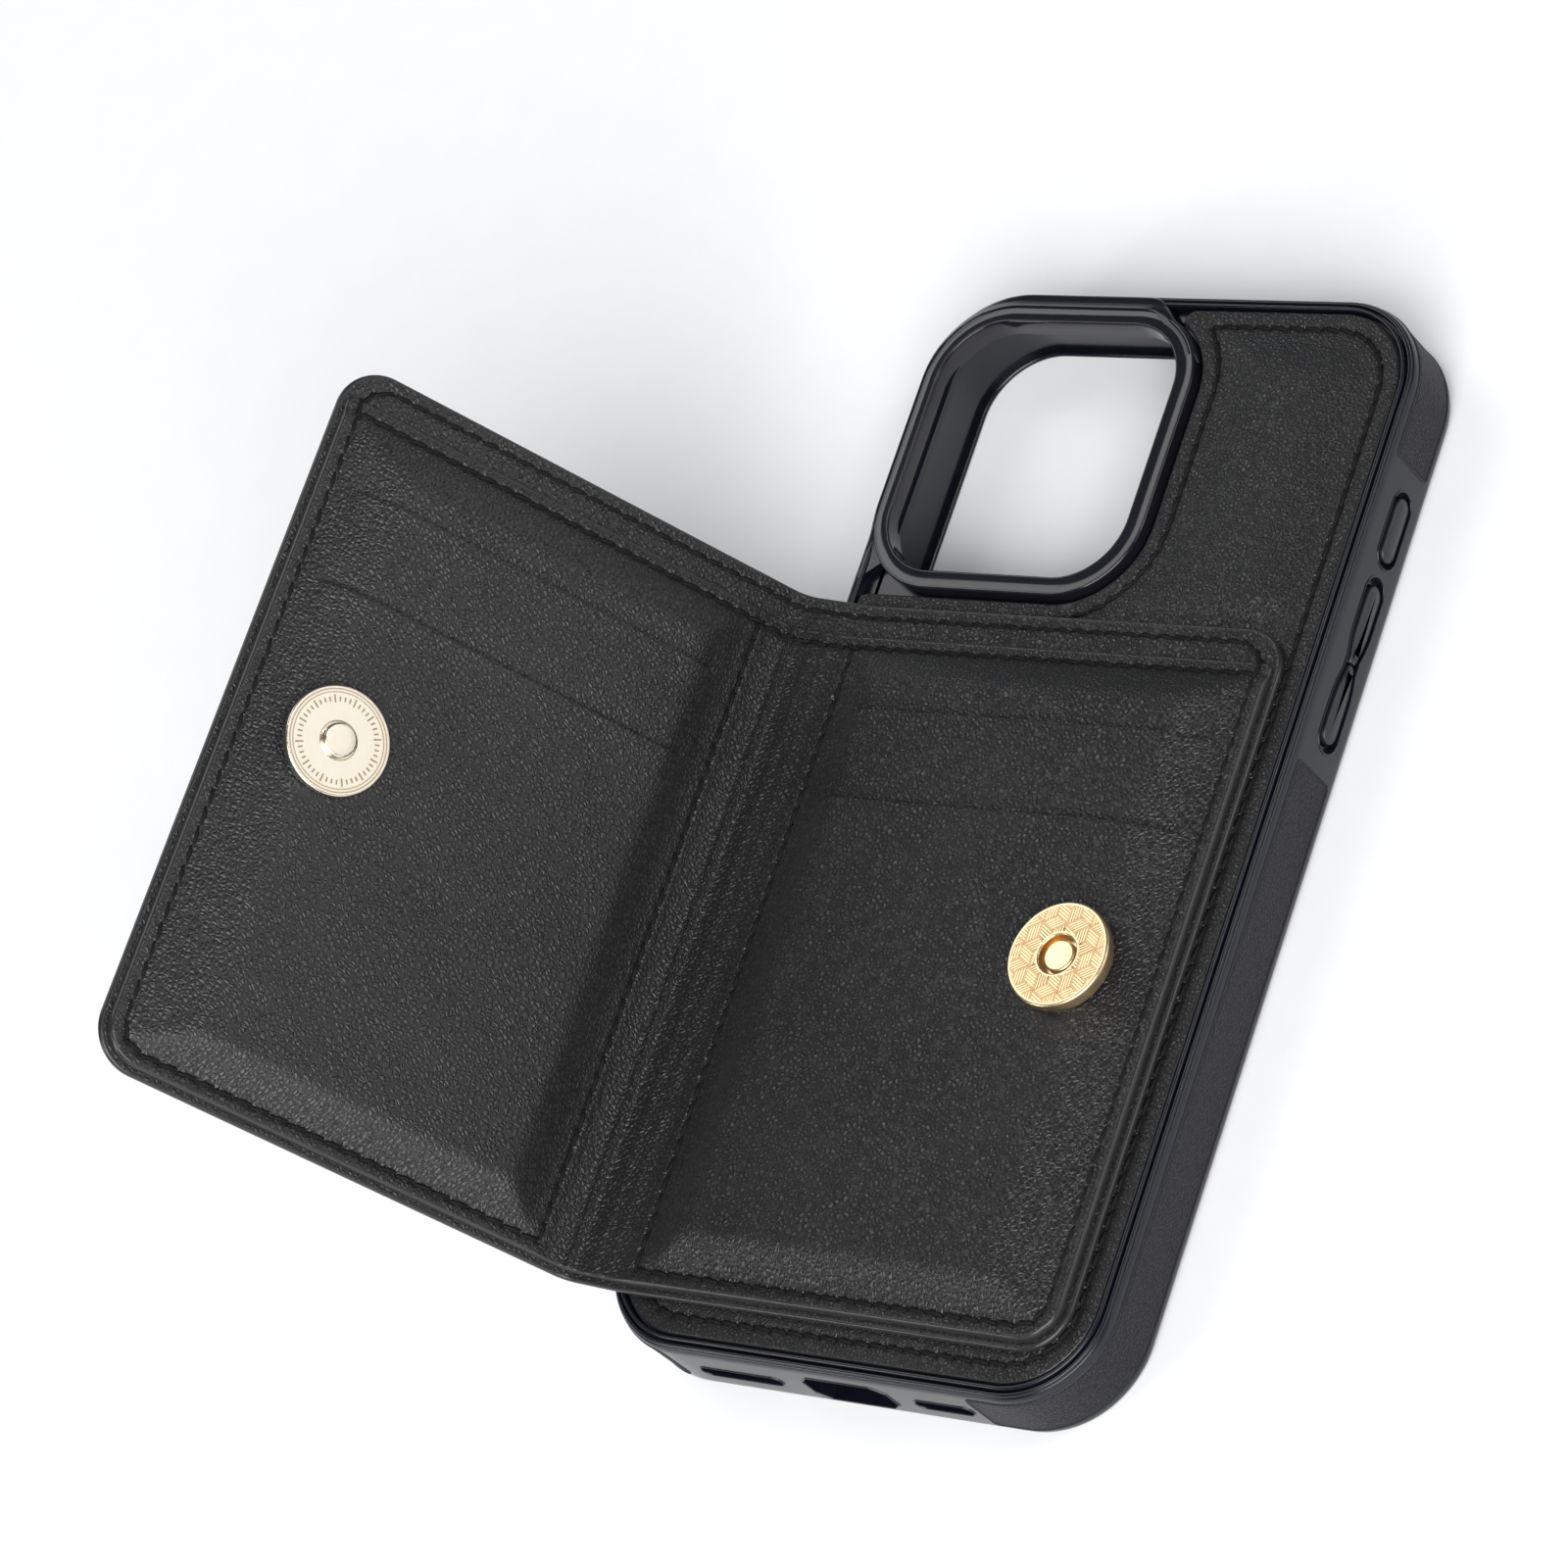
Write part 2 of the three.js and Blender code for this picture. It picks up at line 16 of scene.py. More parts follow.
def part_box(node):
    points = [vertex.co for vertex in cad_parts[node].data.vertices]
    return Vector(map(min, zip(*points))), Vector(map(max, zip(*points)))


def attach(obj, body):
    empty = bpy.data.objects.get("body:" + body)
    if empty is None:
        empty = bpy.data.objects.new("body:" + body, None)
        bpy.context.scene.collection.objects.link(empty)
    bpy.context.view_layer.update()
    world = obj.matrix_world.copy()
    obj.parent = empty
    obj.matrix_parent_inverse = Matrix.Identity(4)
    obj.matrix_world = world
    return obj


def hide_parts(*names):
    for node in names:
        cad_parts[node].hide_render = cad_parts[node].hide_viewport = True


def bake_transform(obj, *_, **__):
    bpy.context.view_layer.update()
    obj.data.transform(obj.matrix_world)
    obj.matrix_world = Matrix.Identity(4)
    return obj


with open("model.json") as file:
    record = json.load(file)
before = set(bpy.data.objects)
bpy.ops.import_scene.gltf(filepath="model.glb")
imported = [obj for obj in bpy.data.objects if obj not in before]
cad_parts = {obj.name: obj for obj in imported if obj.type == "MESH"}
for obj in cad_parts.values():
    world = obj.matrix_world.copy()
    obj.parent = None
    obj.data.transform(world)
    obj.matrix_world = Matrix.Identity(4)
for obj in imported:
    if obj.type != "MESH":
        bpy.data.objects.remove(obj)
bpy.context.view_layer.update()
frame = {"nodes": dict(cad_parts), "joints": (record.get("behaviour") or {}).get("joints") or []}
MM = 0.001
ENGRAVED_DEPTH = 0.02  # of the lines in the snap

# ---------------- sizes taken from the frame


def box_mm(node):
    low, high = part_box(node)
    return low / MM, high / MM


def joint_point(name):
    joint = next(j for j in frame["joints"] if j["name"] == name)
    return np.array(joint["pos_m"]) / MM


case_low, case_high = box_mm("bumper_frame")
ring_low, ring_high = box_mm("camera_bezel")
base_low, base_high = box_mm("base_cover")

HALF_WIDTH = case_high.x
HALF_LENGTH = case_high.y
FLOOR = case_low.z
LIP_TOP = case_high.z
CORNER = 13.5
WALL = 2.75  # thickness of the side walls

RING_CENTRE = ((ring_low.x + ring_high.x) / 2, (ring_low.y + ring_high.y) / 2)
RING_HALF = (ring_high.x - ring_low.x) / 2
RING_CORNER = 11.6
RING_TOP = ring_high.z

FOLD = joint_point("spine_fold")
FLAP_FOLD = joint_point("flap_fold")
BOTTOM = base_low.y
TOP = base_high.y
BASE_RIGHT = base_high.x
PANEL_WIDTH = BASE_RIGHT - FOLD[0]
PANEL_CORNER = 6.5

# ---------------- the wallet's bent path

FLAP_ANGLE = math.radians(62)  # the flap above the base's plane
SPINE_START_ANGLE = math.radians(10)  # the spine leather leaves the base at this angle
FOLD_ROUNDING = 2.0  # half length of the bend beside the base
CREASE_ROUNDING = 2.0  # half length of the bend at the crease


def along(angle):
    return np.array([-math.cos(angle), math.sin(angle)])


def upward(angle):
    return np.stack([np.sin(angle), np.cos(angle)], axis=-1)


# The crease is where the spine leather, leaving at its own angle, meets the flap's plane.
hinge_offset = np.array([FLAP_FOLD[0] - FOLD[0], FLAP_FOLD[2] - FOLD[2]])
flap_normal = upward(FLAP_ANGLE)
CREASE = float(hinge_offset @ flap_normal / (along(SPINE_START_ANGLE) @ flap_normal))
FLAP_START = CREASE + float((hinge_offset - CREASE * along(SPINE_START_ANGLE)) @ along(FLAP_ANGLE))
SPINE_MIDDLE = 6.5  # where the two panels' leather pieces meet


def bend(t, w, corner, at, angle_in, angle_out, rounding):
    """Points of the arc that rounds a corner of the path."""
    turn = angle_out - angle_in
    radius = rounding / math.tan(turn / 2)
    centre = corner - rounding * along(angle_in) + radius * upward(angle_in)
    angle = angle_in + turn * (t - at + rounding) / (2 * rounding)
    return centre - (radius - w)[..., None] * upward(angle)


def straight(t, w, corner, at, angle):
    return corner + (t - at)[..., None] * along(angle) + w[..., None] * upward(angle)


def on_wallet(flat):
    """Row-frame points for flat ones: t along the path (negative on the base), y, w above the fold plane."""
    t, y, w = flat[..., 0], flat[..., 1], flat[..., 2]
    fold = np.array([FOLD[0], FOLD[2]])
    crease = fold + CREASE * along(SPINE_START_ANGLE)
    choices = [
        (t < -FOLD_ROUNDING, straight(t, w, fold, 0, 0)),
        (t < FOLD_ROUNDING, bend(t, w, fold, 0, 0, SPINE_START_ANGLE, FOLD_ROUNDING)),
        (t < CREASE - CREASE_ROUNDING, straight(t, w, fold, 0, SPINE_START_ANGLE)),
        (t < CREASE + CREASE_ROUNDING,
         bend(t, w, crease, CREASE, SPINE_START_ANGLE, FLAP_ANGLE, CREASE_ROUNDING)),
    ]
    place = straight(t, w, crease, CREASE, FLAP_ANGLE)
    for region, points in reversed(choices):
        place = np.where(region[..., None], points, place)
    return np.stack([place[..., 0], y, place[..., 1]], axis=-1)


# ---------------- small numeric helpers


def smooth(x):
    x = np.clip(x, 0, 1)
    return x * x * (3 - 2 * x)


def hill(x, width):
    return np.exp(-(x / width) ** 2)


def soft_min(values, softness):
    stack = np.stack(np.broadcast_arrays(*values))
    return -softness * np.log(np.exp(-stack / softness).sum(axis=0))


def soft_floor(x, softness):
    return softness * np.log1p(np.exp(x / softness))


def round_edge(distance, radius):
    """0 at an edge and 1 from one radius inwards, along a quarter circle."""
    share = 1 - np.clip(distance, 0, radius) / radius
    return np.sqrt(np.clip(1 - share**2, 0, 1))


def graded(*stops):
    """Positions from the first stop to the last. Each stop but the last gives the spacing after it."""
    places = []
    for (start, spacing), (end, _) in zip(stops, stops[1:]):
        count = max(1, math.ceil(abs(end - start) / spacing))
        places.extend(np.linspace(start, end, count, endpoint=False))
    places.append(stops[-1][0])
    return np.array(places)


def uneven(x, y, size):
    """Gentle irregular waves between about -1 and 1 with the given wavelength."""
    x, y = x / size, y / size
    waves = np.sin(5.1 * x + 2.3 * y + 1.3) + np.sin(-3.7 * x + 4.9 * y + 4.1)
    waves += np.sin(8.3 * x - 6.1 * y + 0.4) * 0.6 + np.sin(2.1 * x + 9.7 * y + 2.2) * 0.6
    return waves / 3.2


# ---------------- outlines


def rounded_outline(centre, half, radii, segments=16, spacing=None):
    """Closed outline of a rectangle, anticlockwise from its lower right corner. radii starts there too."""
    points = []
    signs = [(1, -1), (1, 1), (-1, 1), (-1, -1)]
    for corner, ((sx, sy), radius) in enumerate(zip(signs, radii)):
        middle = np.array([centre[0] + sx * (half[0] - radius), centre[1] + sy * (half[1] - radius)])
        start = math.radians(-90 + 90 * corner)
        for angle in np.linspace(start, start + math.pi / 2, segments + 1):
            points.append(middle + radius * np.array([math.cos(angle), math.sin(angle)]))
    outline = np.array(points)
    return outline if spacing is None else fill_in(outline, spacing)


def fill_in(outline, spacing):
    """The same closed outline with extra points on its long straight stretches."""
    points = []
    for start, end in zip(outline, np.roll(outline, -1, axis=0)):
        count = max(1, round(float(np.linalg.norm(end - start)) / spacing))
        points.extend(start + (end - start) * step / count for step in range(count))
    return np.array(points)


def case_outline(inset, segments=16, spacing=None):
    half = (HALF_WIDTH - inset, HALF_LENGTH - inset)
    return rounded_outline((0, 0), half, [CORNER - inset] * 4, segments, spacing)


def ring_outline(grow, segments=16, spacing=None):
    half = (RING_HALF + grow, RING_HALF + grow)
    return rounded_outline(RING_CENTRE, half, [RING_CORNER + grow] * 4, segments, spacing)


def outward_normals(outline):
    """Unit vectors that point out of an anticlockwise outline."""
    tangent = np.roll(outline, -1, axis=0) - np.roll(outline, 1, axis=0)
    return np.column_stack([tangent[:, 1], -tangent[:, 0]]) / np.linalg.norm(tangent, axis=1)[:, None]


def path_lengths(points, closed=False):
    steps = np.diff(np.vstack([points, points[:1]]) if closed else points, axis=0)
    return np.concatenate([[0], np.cumsum(np.linalg.norm(steps, axis=1))])


def evenly_along(points, pitch, closed=False):
    """Points along a line, one pitch apart as nearly as whole stitches allow."""
    line = np.vstack([points, points[:1]]) if closed else np.asarray(points)
    lengths = path_lengths(line)
    count = max(1, round(lengths[-1] / pitch))
    places = np.linspace(0, lengths[-1], count + 1)
    return np.stack([np.interp(places, lengths, line[:, axis]) for axis in range(line.shape[1])], axis=-1)


def arc_points(centre, radius, start, end, steps=10):
    angles = np.radians(np.linspace(start, end, steps + 1))
    return [(centre[0] + radius * math.cos(a), centre[1] + radius * math.sin(a)) for a in angles]


# ---------------- meshes


def add_object(name, points, faces, flat=None, sharp_degrees=40, **marks):
    """A smooth-shaded object from points in millimetres. flat holds each point's place on the uncut sheet.

    marks are further numbers per point, such as edge, that the materials read by name.
    """
    mesh = bpy.data.meshes.new(name)
    mesh.from_pydata((np.asarray(points) * MM).tolist(), [], faces)
    mesh.update()
    mesh.shade_smooth()
    mesh.set_sharp_from_angle(angle=math.radians(sharp_degrees))
    if flat is not None:
        attribute = mesh.attributes.new("flat", "FLOAT_VECTOR", "POINT")
        attribute.data.foreach_set("vector", np.asarray(flat, np.float32).ravel())
    for mark, values in marks.items():
        attribute = mesh.attributes.new(mark, "FLOAT", "POINT")
        attribute.data.foreach_set("value", np.asarray(values, np.float32).ravel())
    obj = bpy.data.objects.new(name, mesh)
    bpy.context.scene.collection.objects.link(obj)
    return obj


def grid_faces(index, flip=False):
    """Quads of a grid of point numbers. A quad whose points repeat becomes a triangle."""
    corners = [index[:-1, :-1], index[1:, :-1], index[1:, 1:], index[:-1, 1:]]
    if flip:
        corners.reverse()
    quads = np.stack([c.ravel() for c in corners], axis=-1).tolist()
    faces = [list(dict.fromkeys(quad)) for quad in quads]
    return [face for face in faces if len(face) > 2]


def closed_sheet(name, top, bottom, place, edge, flip=False, cut_start=False, sharp_degrees=40):
    """A closed body from two grids of flat points with a shared border, or with a flat cut at the start."""
    columns, rows = top.shape[:2]
    top_index = np.arange(columns * rows).reshape(columns, rows)
    bottom_index = top_index.copy()
    inner = (slice(0 if cut_start else 1, columns - 1), slice(1, rows - 1))
    inner_size = bottom_index[inner].size
    bottom_index[inner] = (columns * rows + np.arange(inner_size)).reshape(bottom_index[inner].shape)
    flat = np.concatenate([top.reshape(-1, 3), bottom[inner].reshape(-1, 3)])
    faces = grid_faces(top_index, flip) + grid_faces(bottom_index, not flip)
    if cut_start:
        faces += grid_faces(np.stack([bottom_index[0], top_index[0]]), flip)
    edges = np.concatenate([edge.ravel(), edge[inner].ravel()])
    return add_object(name, place(flat), faces, flat, sharp_degrees, edge=edges)


def as_drawn(flat):
    return flat


def swept(name, outline_at, profile, place=as_drawn, solid=False, sharp_degrees=35):
    """A profile of (inset, height) swept round a closed outline. outline_at(inset) gives that outline.

    The profile is itself closed, or solid fills the inside of its first and last outlines.
    """
    loops = [np.column_stack([outline_at(inset), np.full(len(outline_at(inset)), z)]) for inset, z in profile]
    flat = np.stack(loops, axis=1)
    count, around = flat.shape[:2]
    index = np.arange(count * around).reshape(count, around)
    index = np.vstack([index, index[:1]])
    caps = [index[-2::-1, 0].tolist(), index[:-1, -1].tolist()] if solid else []
    if not solid:
        index = np.hstack([index, index[:, :1]])
    flat = flat.reshape(-1, 3)
    return add_object(name, place(flat), grid_faces(index) + caps, flat, sharp_degrees)


def net_points(outline, edge_tree, rings, spacing):
    """The outline, rows of points at the given insets from it, and a fine net over the rest."""
    inwards = -outward_normals(outline)
    low, high = outline.min(axis=0), outline.max(axis=0)
    row_gap = spacing * math.sqrt(3) / 2
    net_x, net_y = np.meshgrid(np.arange(low[0], high[0], spacing), np.arange(low[1], high[1], row_gap))
    net_x[1::2] += spacing / 2
    groups = [(outline + inset * inwards, inset - 0.01) for inset in rings]
    groups.append((np.column_stack([net_x.ravel(), net_y.ravel()]), rings[-1] + spacing / 2))
    points = [outline]
    for group, least in groups:
        points.append(group[(nearest(edge_tree, group) > least) & inside(group, outline)])
    return np.vstack(points)


def filled(name, outline, rings, spacing, height_at, low):
    """A closed body over any outline: a fine net at height_at(x, y, edge), and a flat underside."""
    edge_tree = point_tree(outline)
    points = net_points(outline, edge_tree, rings, spacing)
    size = len(outline)
    loop = [(i, (i + 1) % size) for i in range(size)]
    corners, _, triangles, *_ = delaunay_2d_cdt([Vector(point) for point in points], loop, [], 1, 1e-5)
    xy = np.array([tuple(corner) for corner in corners])
    edge = nearest(edge_tree, xy)
    top = np.column_stack([xy, height_at(xy[:, 0], xy[:, 1], edge)])
    under = np.column_stack([outline, np.full(size, low)])
    base = len(top)
    faces = [list(triangle) for triangle in triangles]
    faces += [[base + i, base + j, j, i] for i, j in loop]
    faces.append(list(range(base + size - 1, base - 1, -1)))
    flat = np.vstack([top, under])
    marks = np.concatenate([edge, np.zeros(size)])
    return add_object(name, flat, faces, flat, edge=smooth(1.3 - marks / 0.5))


def inside(points, outline):
    """Which points lie inside a closed outline, by counting the edges to their right."""
    x, y = points[:, :1], points[:, 1:]
    x0, y0 = outline.T
    x1, y1 = np.roll(outline, -1, axis=0).T
    crosses = (y0 > y) != (y1 > y)
    at = x0 + (y - y0) * (x1 - x0) / np.where(y1 == y0, 1e-9, y1 - y0)
    return (crosses & (at > x)).sum(axis=1) % 2 == 1


def turned(name, profile, centre, place, segments=96, engraving=None, flip=False, sharp_degrees=30):
    """A body turned about the height axis from a profile of (radius, height).

    The profile starts and ends on the axis or closes. engraving(x, y, height) is 1 in engraved lines.
    """
    closed = profile[0][0] > 0
    angles = np.linspace(0, 2 * math.pi, segments, endpoint=False)
    points = []
    rings = []
    for radius, height in profile:
        if radius == 0:
            rings.append([len(points)] * segments)
            points.append((centre[0], centre[1], height))
            continue
        rings.append(list(range(len(points), len(points) + segments)))
        for a in angles:
            points.append((centre[0] + radius * math.cos(a), centre[1] + radius * math.sin(a), height))
    index = np.array(rings + rings[:1] if closed else rings).T
    index = np.vstack([index, index[:1]])
    flat = np.array(points, float)
    lines = np.zeros(len(flat))
    if engraving:
        lines = engraving(flat[:, 0] - centre[0], flat[:, 1] - centre[1], flat[:, 2])
        flat[:, 2] -= ENGRAVED_DEPTH * lines
    return add_object(name, place(flat), grid_faces(index, flip), flat, sharp_degrees, engraved=lines)


def join(name, objects):
    """One object made of several, under a new name."""
    with bpy.context.temp_override(active_object=objects[0], selected_editable_objects=objects):
        bpy.ops.object.join()
    objects[0].name = name
    return objects[0]


def cut(obj, cutter):
    """Takes the cutter's solid out of the object and removes the cutter."""
    modifier = obj.modifiers.new("cut", "BOOLEAN")
    modifier.operation = "DIFFERENCE"
    modifier.solver = "EXACT"
    modifier.object = cutter
    with bpy.context.temp_override(object=obj, active_object=obj):
        bpy.ops.object.modifier_apply(modifier=modifier.name)
    bpy.data.objects.remove(cutter)


def point_tree(points):
    tree = KDTree(len(points))
    for number, (x, y) in enumerate(points):
        tree.insert((x, y, 0), number)
    tree.balance()
    return tree


def nearest(tree, points):
    """Each point's distance to the nearest one in the tree, seen from above."""
    return np.array([tree.find((point[0], point[1], 0))[2] for point in points])


def with_dimples(flat, holes, depth, radius):
    """Sinks a sheet where stitches pull it down."""
    points = flat.reshape(-1, 3).copy()
    points[:, 2] -= depth * hill(nearest(point_tree(holes), points), radius)
    return points.reshape(flat.shape)


# ---------------- materials


def new_material(name, **settings):
    """A Principled material; settings are socket names with underscores for spaces."""
    material = bpy.data.materials.new(name)
    material.use_nodes = True
    nodes = material.node_tree.nodes
    shader = nodes["Principled BSDF"]
    for key, value in settings.items():
        shader.inputs[key.replace("_", " ")].default_value = value
    return material, material.node_tree, shader


def add_node(tree, kind, inputs=None, **properties):
    """A node with its properties set. Each input is a value or the output socket to link."""
    node = tree.nodes.new(kind)
    for key, value in properties.items():
        setattr(node, key, value)
    for key, value in (inputs or {}).items():
        socket = node.inputs[key]
        if isinstance(value, bpy.types.NodeSocket):
            tree.links.new(value, socket)
        else:
            socket.default_value = value
    return node


def ramp(tree, factor, *stops):
    """A colour ramp; each stop is (position, colour or grey)."""
    node = add_node(tree, "ShaderNodeValToRGB", {"Fac": factor})
    elements = node.color_ramp.elements
    while len(elements) < len(stops):
        elements.new(0.5)
    for element, (position, colour) in zip(elements, stops):
        element.position = position
        element.color = (colour, colour, colour, 1) if isinstance(colour, (int, float)) else (*colour, 1)
    return node.outputs["Color"]


def math_node(tree, operation, *values, clamp=False):
    node = add_node(tree, "ShaderNodeMath", operation=operation, use_clamp=clamp)
    for socket, value in zip(node.inputs, values):
        if isinstance(value, bpy.types.NodeSocket):
            tree.links.new(value, socket)
        else:
            socket.default_value = value
    return node.outputs["Value"]


def sheet_place(tree):
    """Each point's place on the flat leather, in millimetres, so that the grain follows the leather."""
    return add_node(tree, "ShaderNodeAttribute", attribute_name="flat").outputs["Vector"]


def object_place(tree):
    coordinates = add_node(tree, "ShaderNodeTexCoord").outputs["Object"]
    return vector_math(tree, "MULTIPLY", coordinates, (1 / MM,) * 3)


def vector_math(tree, operation, first, second):
    inputs = {0: first, 1: second}
    return add_node(tree, "ShaderNodeVectorMath", inputs, operation=operation).outputs["Vector"]


def noise(tree, place, scale, detail, roughness=0.5, output="Fac"):
    inputs = {"Vector": place, "Scale": scale, "Detail": detail, "Roughness": roughness}
    return add_node(tree, "ShaderNodeTexNoise", inputs).outputs[output]


def finish_shader(tree, shader, colour, gloss, texture, texture_depth, strength=1.0):
    """Links a material's colour, roughness and raised texture."""
    inputs = {"Strength": strength, "Distance": texture_depth * MM, "Height": texture}
    raised = add_node(tree, "ShaderNodeBump", inputs).outputs["Normal"]
    for socket, value in (("Base Color", colour), ("Roughness", gloss), ("Normal", raised)):
        tree.links.new(value, shader.inputs[socket])


def leather(name, dark, light, grain=0.68, depth=0.1, roughness=(0.3, 0.46), specular=0.5):
    """Pebbled leather: rounded cells with fine creases between, worn a little smoother on top."""
    settings = {"Specular_IOR_Level": specular, "Sheen_Weight": 0.04, "Sheen_Roughness": 0.5}
    material, tree, shader = new_material(name, **settings)
    place = sheet_place(tree)
    wander = noise(tree, place, 0.9, 2.0, output="Color")
    moved = vector_math(tree, "ADD", place, vector_math(tree, "MULTIPLY", wander, (0.5,) * 3))
    inputs = {"Vector": moved, "Scale": 1 / grain}
    cells = add_node(tree, "ShaderNodeTexVoronoi", inputs, feature="DISTANCE_TO_EDGE").outputs["Distance"]
    grained = ramp(tree, cells, (0.0, 0.0), (0.1, 0.25), (0.28, 0.85), (0.42, 1.0))
    edge = add_node(tree, "ShaderNodeAttribute", attribute_name="edge").outputs["Fac"]
    pebble = math_node(tree, "MAXIMUM", grained, edge)
    height = math_node(tree, "MULTIPLY_ADD", noise(tree, place, 5.0, 3.0, 0.6), 0.07, pebble)
    broad = noise(tree, place, 0.05, 4.0, 0.6)
    # Colour: the broad random tone, with painted shade in the creases between the pebbles and painted light
    # on their tops.
    tone_and_crease_shade = math_node(tree, "MULTIPLY_ADD", broad, 0.5, math_node(tree, "MULTIPLY", pebble, 0.6))
    crease = math_node(tree, "SUBTRACT", 1.0, pebble)
    worn = math_node(tree, "MULTIPLY_ADD", broad, 0.12, roughness[0] - 0.06)
    gloss = math_node(tree, "MULTIPLY_ADD", crease, roughness[1] - roughness[0], worn)
    finish_shader(tree, shader, ramp(tree, tone_and_crease_shade, (0.15, dark), (0.85, light)), gloss, height, depth)
    return material


def moulded(name, dark, light, roughness, bump=0.004, speck=14.0, specular=0.5):
    """Moulded plastic or rubber with a very fine skin texture and faint handling marks."""
    material, tree, shader = new_material(name, Specular_IOR_Level=specular)
    place = object_place(tree)
    marks = noise(tree, place, 0.12, 5.0, 0.65)
    colour = ramp(tree, marks, (0.3, dark), (0.75, light))
    gloss = math_node(tree, "MULTIPLY_ADD", marks, 0.16, roughness - 0.08)
    finish_shader(tree, shader, colour, gloss, noise(tree, place, speck, 2.0), bump)
    return material


def plated(name, colour, shade, roughness, place_of=sheet_place):
    """Plated metal with a slight haze and fine scratches, and painted shade in the engraved lines."""
    material, tree, shader = new_material(name, Metallic=1.0)
    place = place_of(tree)
    engraved = add_node(tree, "ShaderNodeAttribute", attribute_name="engraved").outputs["Fac"]
    haze = noise(tree, place, 0.6, 4.0)
    metal = ramp(tree, haze, (0.3, tuple(c * 0.93 for c in colour)), (0.7, colour))
    # The engraved lines take the shade colour: painted shade in the grooves.
    inputs = {0: engraved, 6: metal, 7: (*shade, 1)}
    mixed = add_node(tree, "ShaderNodeMix", inputs, data_type="RGBA").outputs[2]
    gloss = math_node(tree, "MULTIPLY_ADD", haze, 0.14, roughness - 0.07)
    finish_shader(tree, shader, mixed, gloss, noise(tree, place, 9.0, 3.0), 0.01, strength=0.6)
    return material


# Each leather's dark colour is the painted shade in its creases, and its light colour the painted light on
# its pebble tops.
LEATHER = leather("black leather", (0.0015, 0.0015, 0.0022), (0.0130, 0.0122, 0.0125))
BACK_LEATHER = leather("back leather", (0.0015, 0.0015, 0.0022), (0.0120, 0.0115, 0.0120), 0.6, 0.08)
SIDE_GRAIN = leather("side grain", (0.003, 0.003, 0.005), (0.010, 0.010, 0.013), 0.5, 0.08, (0.5, 0.7), 0.25)
BUMPER = moulded("satin bumper", (0.003, 0.0035, 0.007), (0.005, 0.006, 0.011), 0.22, specular=0.4)
BUTTON = moulded("button rubber", (0.004, 0.0045, 0.007), (0.007, 0.008, 0.011), 0.42)
GLOSS_RING = moulded("gloss ring", (0.006, 0.006, 0.009), (0.009, 0.009, 0.013), 0.12, 0.001)
BOARD = moulded("black board", (0.006, 0.006, 0.006), (0.014, 0.014, 0.013), 0.85, 0.03)
THREAD = moulded("black thread", (0.001, 0.001, 0.0015), (0.004, 0.004, 0.005), 0.75, 0.02, 9.0, 0.25)
FLOOR_WHITE = moulded("pale floor", (0.86, 0.86, 0.87), (0.88, 0.88, 0.89), 0.6, 0.0)
# The second colour of each plated metal is the painted shade in its engraved lines; the magnet has none.
GOLD = plated("light gold plate", (0.80, 0.60, 0.36), (0.26, 0.15, 0.06), 0.3)
PALE_GOLD = plated("pale gold plate", (0.72, 0.66, 0.55), (0.30, 0.20, 0.08), 0.22)
MAGNET = plated("nickelled magnet", (0.55, 0.55, 0.57), (0.2, 0.2, 0.2), 0.35, object_place)


def finish_piece(obj, material):
    obj.data.materials.clear()
    obj.data.materials.append(material)
    return obj


# ---------------- wallet sizes

COVER_LOW, COVER_HIGH, COVER_EDGE = -0.5, 0.6, 0.5
LINING_LOW, LINING_EDGE = 0.62, 0.5
LINING_INSET, LINING_TOP_INSET = 1.0, 5.0
LINING_CORNER = PANEL_CORNER - LINING_INSET
LINING_TOP_CORNER = 1.0
BORDER = 1.75  # height of the stitched border
TOP_BORDER = 1.2  # and of the thin lining along its top edge
PLATEAU = 4.55  # height of the padded middle
BOARD_ROOM = (1.3, 3.6)  # height of the hollow over the board, and how far inside the edge it starts
STITCH_INSET = 1.9  # from the lining's edge to its stitches
HEM_INSET = 2.1  # from the cover's top edge to its stitches
PITCH = 2.7  # from one stitch hole to the next
BOARD_INSET, BOARD_TOP_INSET, BOARD_CORNER = 4.2, 6.4, 2.0
BOARD_SECTION = [(0.1, 0.7), (0, 0.78), (0, 1.08), (0.1, 1.16)]
FINE, EDGE_BAND = 0.07, 0.56  # spacing of the rows in the rounded edge, and how far in it reaches
NEAR_SEAM = 0.9  # how far the closer rows reach to each side of a seam
GROOVE_WIDTH, GROOVE_DEPTH = 0.5, 0.16  # the groove a seam draws in the padded front
DIMPLE_RADIUS = 0.45  # of the dent round a stitch hole
RAMP_START = 0.8  # from a seam to the foot of the padding's slope
OUTER_RAMP, BOTTOM_RAMP, TOP_RAMP, SPINE_RAMP = 8.4, 4.2, 4.6, 10  # lengths of the padding's slopes
SLITS = (-1.7, 11.3)
SLIT_START, SLIT_END, SLIT_FADE = 5.2, 61.8, 1.4
SLIT_ROW_GAP = 0.012  # between a slit's rows where it is shut

LINING_OUT = PANEL_WIDTH - LINING_INSET
LINING_BOTTOM = BOTTOM + LINING_INSET
LINING_TOP = TOP - LINING_TOP_INSET
SEAM_OUT = LINING_OUT - STITCH_INSET
SEAM_BOTTOM = LINING_BOTTOM + STITCH_INSET
SEAM_TOP = LINING_TOP - STITCH_INSET
# Outer, lower and upper edge of the lining and of the cover, with the radius of the lower and upper corner.
LINING_EDGES = (LINING_OUT, LINING_BOTTOM, LINING_TOP, LINING_CORNER, LINING_TOP_CORNER)
COVER_EDGES = (PANEL_WIDTH, BOTTOM, TOP, PANEL_CORNER, PANEL_CORNER)


